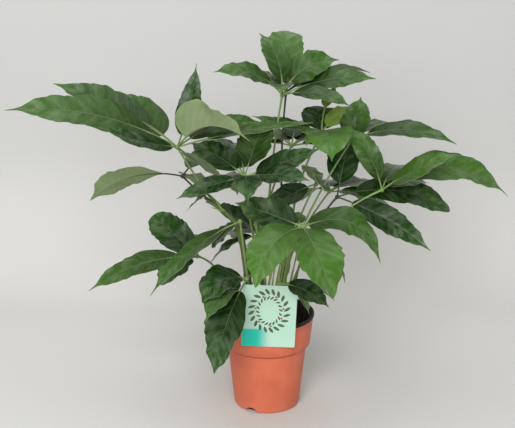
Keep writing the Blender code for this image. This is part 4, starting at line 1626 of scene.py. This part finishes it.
@dataclass
class Cane:
    """One cane: a tapering stem with ring scars, and stipules about its tip bud."""
    name: str
    sides: int = 20
    steps: int = CANE_STEPS
    ring_half: float = 0.0016
    bud_neck: float = 0.006
    bud_length: float = 0.009
    bud_share: float = 0.72
    bud_tip: float = 0.0007
    sheath_down: float = 0.024

    def axis(self) -> tuple[list[Vector], list[float]]:
        """Work out the cane's form.

        Returns:
            Its centre line, and its radius at each of the line's points.
        """
        points = [Vector(point) for point, radius in CANES[self.name]]
        radii = [Vector((radius, 0, 0)) for point, radius in CANES[self.name]]
        path = smooth_curve(points, self.steps)
        foot = Vector((points[0].x, points[0].y, SOIL_HEIGHT - HOLE_DEPTH + GAP))
        widths = [radius.x for radius in smooth_curve(radii, self.steps)]
        return [foot, *path], [widths[0], *widths]

    def at(self, height: float) -> tuple[Vector, Vector, float]:
        """Find the cane's place at a height.

        Args:
            height: The height.

        Returns:
            The place on its centre line, its direction and its radius there.
        """
        path, radii = self.axis()
        for index, (lower, upper) in enumerate(zip(path, path[1:])):
            if lower.z <= height <= upper.z:
                share = (height - lower.z) / (upper.z - lower.z)
                return lower.lerp(upper, share), (upper - lower).normalized(), radii[index]
        return path[-1], (path[-1] - path[-2]).normalized(), radii[-1]

    def ringed(self, path: list[Vector], radii: list[float]) -> tuple[list[Vector], list[float]]:
        """Add a swollen ring to the stem where each old leaf has dropped.

        Args:
            path: The centre line.
            radii: Its radii.

        Returns:
            The centre line and radii with three more points at each ring.
        """
        points, widths, travelled, due = [path[0]], [radii[0]], 0.0, SCAR_SPACING
        for index in range(1, len(path)):
            start, end = path[index - 1], path[index]
            before, after = radii[index - 1], radii[index]
            span = (end - start).length
            while due < travelled + span and index > 1:
                for offset, swell in ((-self.ring_half, 0.0), (0.0, SCAR_SWELL), (self.ring_half, 0.0)):
                    share = (due + offset - travelled) / span
                    if 0 < share < 1:
                        points.append(start.lerp(end, share))
                        widths.append(before + (after - before) * share + swell)
                due += SCAR_SPACING
            travelled += span
            points.append(end)
            widths.append(after)
        return points, widths

    def build(self, bark: Material, young: Material) -> Object:
        """Build the cane.

        Args:
            bark: Its material.
            young: The material of its stipules.

        Returns:
            The cane.
        """
        path, radii = self.ringed(*self.axis())
        along = (path[-1] - path[-2]).normalized()
        tip = path[-1].copy()
        path += [tip + along * self.bud_neck, tip + along * (self.bud_neck + self.bud_length)]
        radii += [radii[-1] * self.bud_share, self.bud_tip]
        whole = sweep(path, radii, self.sides, BACKWARD)
        side = BACKWARD.cross(along).normalized()
        for out in (side, -side):
            sheath = Sheath().build(tip - along * self.sheath_down, along, out)
            for face in sheath.faces:
                face.material_index = CaneSlot.STIPULE
            merge_into(whole, sheath)
        cane = keep_object(whole, self.name + "_bark", [bark, young], sharp=60.0)
        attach(cane, "root")
        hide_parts(self.name)
        return cane


@dataclass
class Blade:
    """One leaflet's midrib and its toothed, waved and veined blade.

    A place on the blade is t, its share of the blade's length, and a, its share of the half
    width: 0 on the midrib, 1 and -1 on the margins. The number shifts its teeth and waves.
    """
    leaf: Leaflet
    hub: Vector
    number: int
    rib_sides: int = 8
    rib_steps: int = 30
    rib_end: float = 0.985
    rib_taper: float = 1.6
    rib_least: float = 0.00016
    rib_sink: float = 0.85
    rib_settle: float = 6.0
    rib_depth: float = 0.75
    rib_fade: float = 0.55
    rib_darkening: float = 8.0
    step: float = 0.0026
    least_steps: int = 34
    most_steps: int = 84
    across: int = 16
    crowding: float = 1.25
    thick: float = 0.0007
    least_half: float = 0.0005
    beside: float = 1e-4
    vein_gap: float = 0.0125
    vein_straight: float = 0.45
    vein_curve: float = 0.28
    vein_first: float = 20.0
    vein_stagger: float = 3.0
    quilt: float = 0.0006
    quilt_round: float = 0.7
    quilt_start: float = 5.0
    groove: float = 0.0004
    groove_width: float = 0.0016
    wave_power: float = 1.6
    ripple: float = 0.014
    ripples: float = 5.3
    ripple_turn: float = 1.7
    tooth: float = 0.055
    teeth: float = 9.0
    tooth_shift: float = 0.37
    tooth_start: float = 0.32
    tooth_ease: float = 0.2
    tooth_fall: float = 5.0

    def half_width(self, t: float, a: float) -> float:
        """Give the blade's half width at t, on the half that a's sign tells.

        Args:
            t: Share of the blade's length.
            a: Share of its half width.

        Returns:
            The half width, with its drip tip and its teeth.
        """
        base, tip = self.leaf.base, self.leaf.tip
        widest = base / (base + tip)
        share = (t / widest) ** base * ((1 - t) / (1 - widest)) ** tip
        nearing = min(max((t - DRIP_START) / (DRIP_END - DRIP_START), 0), 1)
        depth = DRIP_SHARE * min(1, tip / TIP_POWER) ** 2
        share *= 1 - depth * nearing * nearing * (3 - 2 * nearing)
        place = (t * self.teeth + self.tooth_shift * self.number + (0 if a > 0 else 0.5)) % 1.0
        strength = self.tooth * min(max((t - self.tooth_start) / self.tooth_ease, 0), 1)
        share *= 1 + strength * (place - 0.5) * 2 * min(1, (1 - place) * self.tooth_fall)
        return self.leaf.width / 2 * share

    def frame_at(self, s: float) -> tuple[Vector, Vector, Vector]:
        """Work out a place on the midrib.

        Args:
            s: The place, as a share of the leaflet's length.

        Returns:
            The place, and the blade's side and up direction there.
        """
        chord = heading(self.leaf.bearing, self.leaf.rise)
        across = UP.cross(chord).normalized()
        over = chord.cross(across)
        bend = over * self.leaf.arch + across * self.leaf.bow
        offset = chord * s + bend * (4 * s * (1 - s))
        along = (chord + bend * (4 * (1 - 2 * s))).normalized()
        side = UP.cross(along).normalized()
        turn = Matrix.Rotation(math.radians(self.leaf.roll), 3, along)
        return self.hub + offset * self.leaf.length, turn @ side, turn @ along.cross(side)

    def vein_place(self, t: float, a: float) -> float:
        """Count the side veins between the blade's foot and a place on it.

        Args:
            t: Share of the blade's length.
            a: Share of its half width.

        Returns:
            The count, whole on a vein.
        """
        along = t * self.leaf.length * (1 - self.leaf.bare)
        swept = (self.vein_straight * abs(a) + self.vein_curve * a * a) * self.half_width(t, a)
        first = self.vein_first + self.vein_stagger * self.number + (0.5 if a < 0 else 0.0)
        return (along - swept) / self.vein_gap + first

    def lift(self, t: float, a: float) -> float:
        """Work out how high a place on the blade stands over its midrib.

        Args:
            t: Share of the blade's length.
            a: Share of its half width.

        Returns:
            The height that the fold, the waved margin, the quilting and the groove make.
        """
        half = max(self.half_width(t, a), self.least_half)
        phase = math.radians(GOLDEN_ANGLE * self.number)
        lag = 0.0 if a > 0 else MARGIN_LAG
        calm = math.sin(math.pi * t)
        wave = WAVE_SHARE * math.sin(math.tau * WAVES * t + phase + lag)
        fine = self.ripple * self.leaf.crinkle * math.sin(
            math.tau * self.ripples * t + self.ripple_turn * phase + 2 * lag)
        margin = self.leaf.width * (wave * abs(a) ** self.wave_power + fine * a * a)
        pillow = abs(math.sin(math.pi * self.vein_place(t, a or self.beside))) ** self.quilt_round
        pillow *= (1 - abs(a) ** 3) * min(1, self.quilt_start * abs(a))
        trough = math.exp(-(a * half / self.groove_width) ** 2)
        fold = abs(a) * half * math.sin(math.radians(self.leaf.fold))
        return fold + calm * (margin + self.quilt * pillow - self.groove * trough)

    def spread(self, y: float) -> float:
        """Turn a grid place from -0.5 to 0.5 into a share of the half width, finer at the midrib."""
        return math.copysign(min(abs(2 * y), 1.0) ** self.crowding, y)

    def map_veins(self, bm: BMesh) -> None:
        """Write the vein map on the flat blade, and tell its upper skin from its lower one.

        Args:
            bm: The flat blade.
        """
        veins = bm.loops.layers.uv["veins"]
        for face in bm.faces:
            top = all(vert.co.z > -0.5 for vert in face.verts)
            face.material_index = BladeSlot.TOP if top else BladeSlot.UNDERSIDE
            half = 1 if face.calc_center_median().y > 0 else -1
            for loop in face.loops:
                a = half * abs(self.spread(loop.vert.co.y))
                count = self.vein_place(loop.vert.co.x, a or half * self.beside)
                loop[veins].uv = (count, 0.5 + a / 2)

    def build(self) -> BMesh:
        """Build the blade: a grid given its thickness flat, then laid on the leaflet's form.

        Returns:
            The closed blade, with its vein map.
        """
        leaf = self.leaf
        steps = round(min(max(leaf.length / self.step, self.least_steps), self.most_steps))
        fold = math.cos(math.radians(leaf.fold))
        bm = bmesh.new()
        bm.loops.layers.uv.new("veins")
        along = bm.verts.layers.float.new("along")
        bmesh.ops.create_grid(bm, x_segments=steps, y_segments=self.across, size=0.5)
        bmesh.ops.translate(bm, verts=bm.verts[:], vec=(0.5, 0, 0))
        thicken(bm, (0, 0, -1))
        self.map_veins(bm)
        frames = [self.frame_at(leaf.bare + (1 - leaf.bare) * index / steps)
                  for index in range(steps + 1)]
        for vert in bm.verts:
            t, a = vert.co.x, self.spread(vert.co.y)
            point, side, up = frames[round(t * steps)]
            out = a * max(self.half_width(t, a), self.least_half) * fold
            height = self.lift(t, a) + vert.co.z * self.thick
            vert[along] = t
            vert.co = point + side * out + up * height
        bmesh.ops.recalc_face_normals(bm, faces=bm.faces[:])
        return bm

    def build_midrib(self) -> BMesh:
        """Build the leaflet's own stalk and the midrib that runs on from it to the tip.

        Returns:
            The closed tube, which sinks into the blade.
        """
        path, radii = [], []
        for index in range(self.rib_steps + 1):
            s = index / self.rib_steps
            point, side, up = self.frame_at(s * self.rib_end)
            share = max(0.0, (s - self.leaf.bare) / (1 - self.leaf.bare))
            radius = PETIOLULE_RADIUS * (1 - share) ** self.rib_taper + self.rib_least
            path.append(point - up * (radius * self.rib_sink * min(1, self.rib_settle * share)))
            radii.append(radius)
        return sweep(path, radii, self.rib_sides, UP)

    def darken_midrib(self, rib: BMesh, age: AgeAndShade) -> None:
        """Darken the midrib where it runs on the blade, less on a brighter one.

        Args:
            rib: The midrib, with its darkness already written.
            age: The leaflet's age.
        """
        darkness = rib.verts.layers.float["darkness"]
        deep = self.rib_depth - self.rib_fade * age.value[0]
        rib.verts.ensure_lookup_table()
        for index, vert in enumerate(rib.verts):
            s = (index // self.rib_sides) / self.rib_steps
            on_blade = min(max((s - self.leaf.bare) * self.rib_darkening, 0), 1)
            vert[darkness] += (deep - vert[darkness]) * on_blade


@dataclass
class CompoundLeaf:
    """One compound leaf: its stalk, the knob of its hub, its stipules and its leaflets."""
    plan: LeafPlan
    first_number: int
    stalk_steps: int = 18
    stalk_sides: int = 10
    foot_swell: float = 0.0006
    foot_end: float = 0.12
    top_swell: float = 0.0007
    top_start: float = 0.93
    sheath_out: float = 0.6

    def stalk_path(self) -> list[Vector]:
        """Work out the stalk's curve from its foot over its elbow to the hub.

        Returns:
            The curve's points.
        """
        hub = Vector(self.plan.hub)
        if isinstance(self.plan.foot[0], str):
            name, height, bearing = self.plan.foot
            axis, along, radius = Cane(name, steps=3).at(height)
            out = heading(bearing)
            out = (out - along * out.dot(along)).normalized()
            foot = axis + out * (radius + STALK_RADIUS + STALK_STANDOFF)
            start = foot + along * STALK_CLASP
        else:
            foot = Vector((*self.plan.foot, SOIL_HEIGHT - HOLE_DEPTH + GAP))
            start = Vector((*self.plan.foot, SOIL_HEIGHT + SOIL_CROWN + STALK_CLEAR))
        elbow = Vector(self.plan.elbow)
        path = [foot, foot.lerp(start, 0.5)]
        for index in range(self.stalk_steps + 1):
            t = index / self.stalk_steps
            path.append(start * (1 - t) ** 2 + elbow * 2 * t * (1 - t) + hub * t * t)
        return path

    def build_stalk(self) -> BMesh:
        """Build the stalk, thicker at its clasping foot and under the hub.

        Returns:
            The closed tube.
        """
        path = self.stalk_path()
        radii = []
        for index in range(len(path)):
            share = index / (len(path) - 1)
            low = max(0.0, 1 - share / self.foot_end)
            high = max(0.0, (share - self.top_start) / (1 - self.top_start))
            swell = self.foot_swell * low + self.top_swell * high
            radii.append(STALK_RADIUS + (STALK_TOP_RADIUS - STALK_RADIUS) * share + swell)
        return sweep(path, radii, self.stalk_sides, BACKWARD)

    def build_sheaths(self) -> list[BMesh]:
        """Build the pair of stipules beside the foot of a stalk that grows from a cane.

        Returns:
            The stipules, or none for a stalk that grows from the soil.
        """
        if not isinstance(self.plan.foot[0], str):
            return []
        path = self.stalk_path()
        along = (path[2] - path[0]).normalized()
        axis = Cane(self.plan.foot[0], steps=3).at(self.plan.foot[1])[0]
        side = along.cross((path[0] - axis).normalized()).normalized()
        return [Sheath().build(path[1] + out * STALK_RADIUS * self.sheath_out, along, out)
                for out in (side, -side)]

    def mark(self, bm: BMesh, age: AgeAndShade) -> BMesh:
        """Write a leaflet's tone, its olive share and the stalk's darkness on its vertices.

        Args:
            bm: The shape.
            age: The leaflet's age.

        Returns:
            The same shape.
        """
        for name, value in (("tone", age.value[0]), ("olive", age.value[1]),
                            ("darkness", self.plan.dark_stalk)):
            layer = bm.verts.layers.float.new(name)
            for vert in bm.verts:
                vert[layer] = value
        return bm

    def build(self, skins: list[Material]) -> Object:
        """Build and dress the leaf.

        Args:
            skins: The upper skin, the lower skin and the stalk's skin.

        Returns:
            The leaf.
        """
        whole = bmesh.new()
        whole.loops.layers.uv.new("veins")
        for name in ("along", "tone", "olive", "darkness"):
            whole.verts.layers.float.new(name)
        hub = Vector(self.plan.hub)
        knob = bmesh.new()
        bmesh.ops.create_icosphere(knob, subdivisions=2, radius=KNOB_RADIUS,
                                   matrix=Matrix.Translation(hub))
        stalks = [self.mark(stalk, self.plan.age)
                  for stalk in (self.build_stalk(), knob, *self.build_sheaths())]
        for number, leaf in enumerate(self.plan.leaflets, self.first_number):
            blade, age = Blade(leaf, hub, number), leaf.age or self.plan.age
            merge_into(whole, self.mark(blade.build(), age))
            rib = self.mark(blade.build_midrib(), age)
            blade.darken_midrib(rib, age)
            stalks.append(rib)
        for stalk in stalks:
            stalk.loops.layers.uv.new("veins")
            for face in stalk.faces:
                face.material_index = BladeSlot.STALK
            merge_into(whole, stalk)
        foliage = keep_object(whole, self.plan.name.replace("leaf_", "foliage_"), skins, sharp=50.0)
        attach(foliage, "root")
        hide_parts(self.plan.name)
        return foliage


@dataclass(frozen=True)
class Softbox:
    """A square soft light that looks at the plant."""
    name: str
    place: Triple
    size: float
    watts: float

    def hang(self, target: Triple) -> None:
        """Hang the light.

        Args:
            target: What it is turned to.
        """
        data = bpy.data.lights.new(self.name, "AREA")
        data.shape = "SQUARE"
        data.size = self.size
        data.energy = self.watts
        lamp = bpy.data.objects.new(self.name, data)
        lamp.location = self.place
        look = Vector(target) - Vector(self.place)
        lamp.rotation_euler = look.to_track_quat("-Z", "Y").to_euler()
        bpy.context.scene.collection.objects.link(lamp)


@dataclass
class Studio:
    """The plain pale floor and backdrop, the soft lights and the camera."""
    photo_width: float = 515.0
    focal_px: float = 1069.0
    sensor_width: float = 36.0
    sight: float = 50.0
    camera_place: Triple = (0.0, -1.80, 0.8795)
    camera_pitch: float = 16.2
    camera_roll: float = 0.544
    wall_y: float = 0.75
    cove_radius: float = 0.30
    cove_steps: int = 16
    half_width: float = 3.0
    front_y: float = -3.5
    wall_height: float = 3.0
    softboxes: tuple[Softbox, ...] = (
        Softbox("overhead_softbox", (-0.3, -0.2, 2.6), 1.8, 18.0),
        Softbox("front_softbox", (-0.35, -2.6, 1.7), 1.6, 78.0))
    lit_place: Triple = (0, 0, 0.35)
    air: str = "f4f4f2"
    air_strength: float = 0.36

    def build_backdrop(self) -> Object:
        """Build the floor that curves up into the wall behind the plant.

        Returns:
            The backdrop.
        """
        bm = bmesh.new()
        first = bm.verts.new((-self.half_width, self.front_y, 0))
        second = bm.verts.new((-self.half_width, self.wall_y - self.cove_radius, 0))
        bm.edges.new((first, second))
        bmesh.ops.spin(bm, geom=[second], cent=(0, self.wall_y - self.cove_radius, self.cove_radius),
                       axis=(1, 0, 0), angle=math.radians(90), steps=self.cove_steps)
        last = max(bm.verts, key=lambda vert: (vert.co.z, vert.co.y))
        rise = bmesh.ops.extrude_vert_indiv(bm, verts=[last])
        bmesh.ops.translate(bm, verts=rise["verts"], vec=(0, 0, self.wall_height))
        grown = bmesh.ops.extrude_edge_only(bm, edges=bm.edges[:])["geom"]
        verts = [item for item in grown if isinstance(item, bmesh.types.BMVert)]
        bmesh.ops.translate(bm, verts=verts, vec=(2 * self.half_width, 0, 0))
        bmesh.ops.recalc_face_normals(bm, faces=bm.faces[:])
        if sum(face.normal.z for face in bm.faces) < 0:
            bmesh.ops.reverse_faces(bm, faces=bm.faces[:])
        backdrop = keep_object(bm, "studio_backdrop", [StudioPaper().make()], sharp=60.0)
        return backdrop

    def place_camera(self) -> None:
        """Set up the camera at the photograph's viewing angle."""
        data = bpy.data.cameras.new("photo_camera")
        data.sensor_width = self.sensor_width
        data.lens = self.focal_px / self.photo_width * self.sensor_width
        data.clip_end = self.sight
        camera = bpy.data.objects.new("photo_camera", data)
        camera.location = self.camera_place
        camera.rotation_euler = (math.radians(90 - self.camera_pitch), 0, math.radians(self.camera_roll))
        bpy.context.scene.collection.objects.link(camera)
        bpy.context.scene.camera = camera

    def light(self) -> None:
        """Light the plant from overhead and from the front, with a pale fill all round."""
        for softbox in self.softboxes:
            softbox.hang(self.lit_place)
        world = bpy.data.worlds.new("studio_air")
        world.use_nodes = True
        fill_inputs(world.node_tree, world.node_tree.nodes["Background"],
                    {"Color": srgb(self.air), "Strength": self.air_strength})
        bpy.context.scene.world = world
        bpy.context.scene.view_settings.view_transform = "Standard"

    def build(self) -> Object:
        """Set up the studio.

        Returns:
            Its backdrop.
        """
        self.place_camera()
        self.light()
        return self.build_backdrop()


def main() -> None:
    """Build every piece in order and report it."""
    logging.basicConfig(level=logging.INFO, format="%(name)s: %(message)s")
    pieces = [Studio().build(), NurseryPot().build(), *SoilFill().build(), *LabelCard().build()]
    bark = GreenBark().make()
    skins = [BladeTop().make(), BladeUnderside().make(), StalkSkin().make()]
    # A paler copy of the stalk skin for the young stems and stipules: their younger green, lightened
    # further as painted light where they stand in the leaves' shade.
    young = StalkSkin("young_stem_green_painted_light", light="a0bb68", dark="4a5a2c").make()
    pieces += [Cane(name).build(bark, young) for name in CANES]
    pieces.append(YoungStems().build(young))
    first_number = 0
    for plan in LEAVES:
        pieces.append(CompoundLeaf(plan, first_number).build(skins))
        first_number += len(plan.leaflets)
    for piece in pieces:
        LOG.info("built %s with %d faces", piece.name, len(piece.data.polygons))


if __name__ == "__main__":
    main()
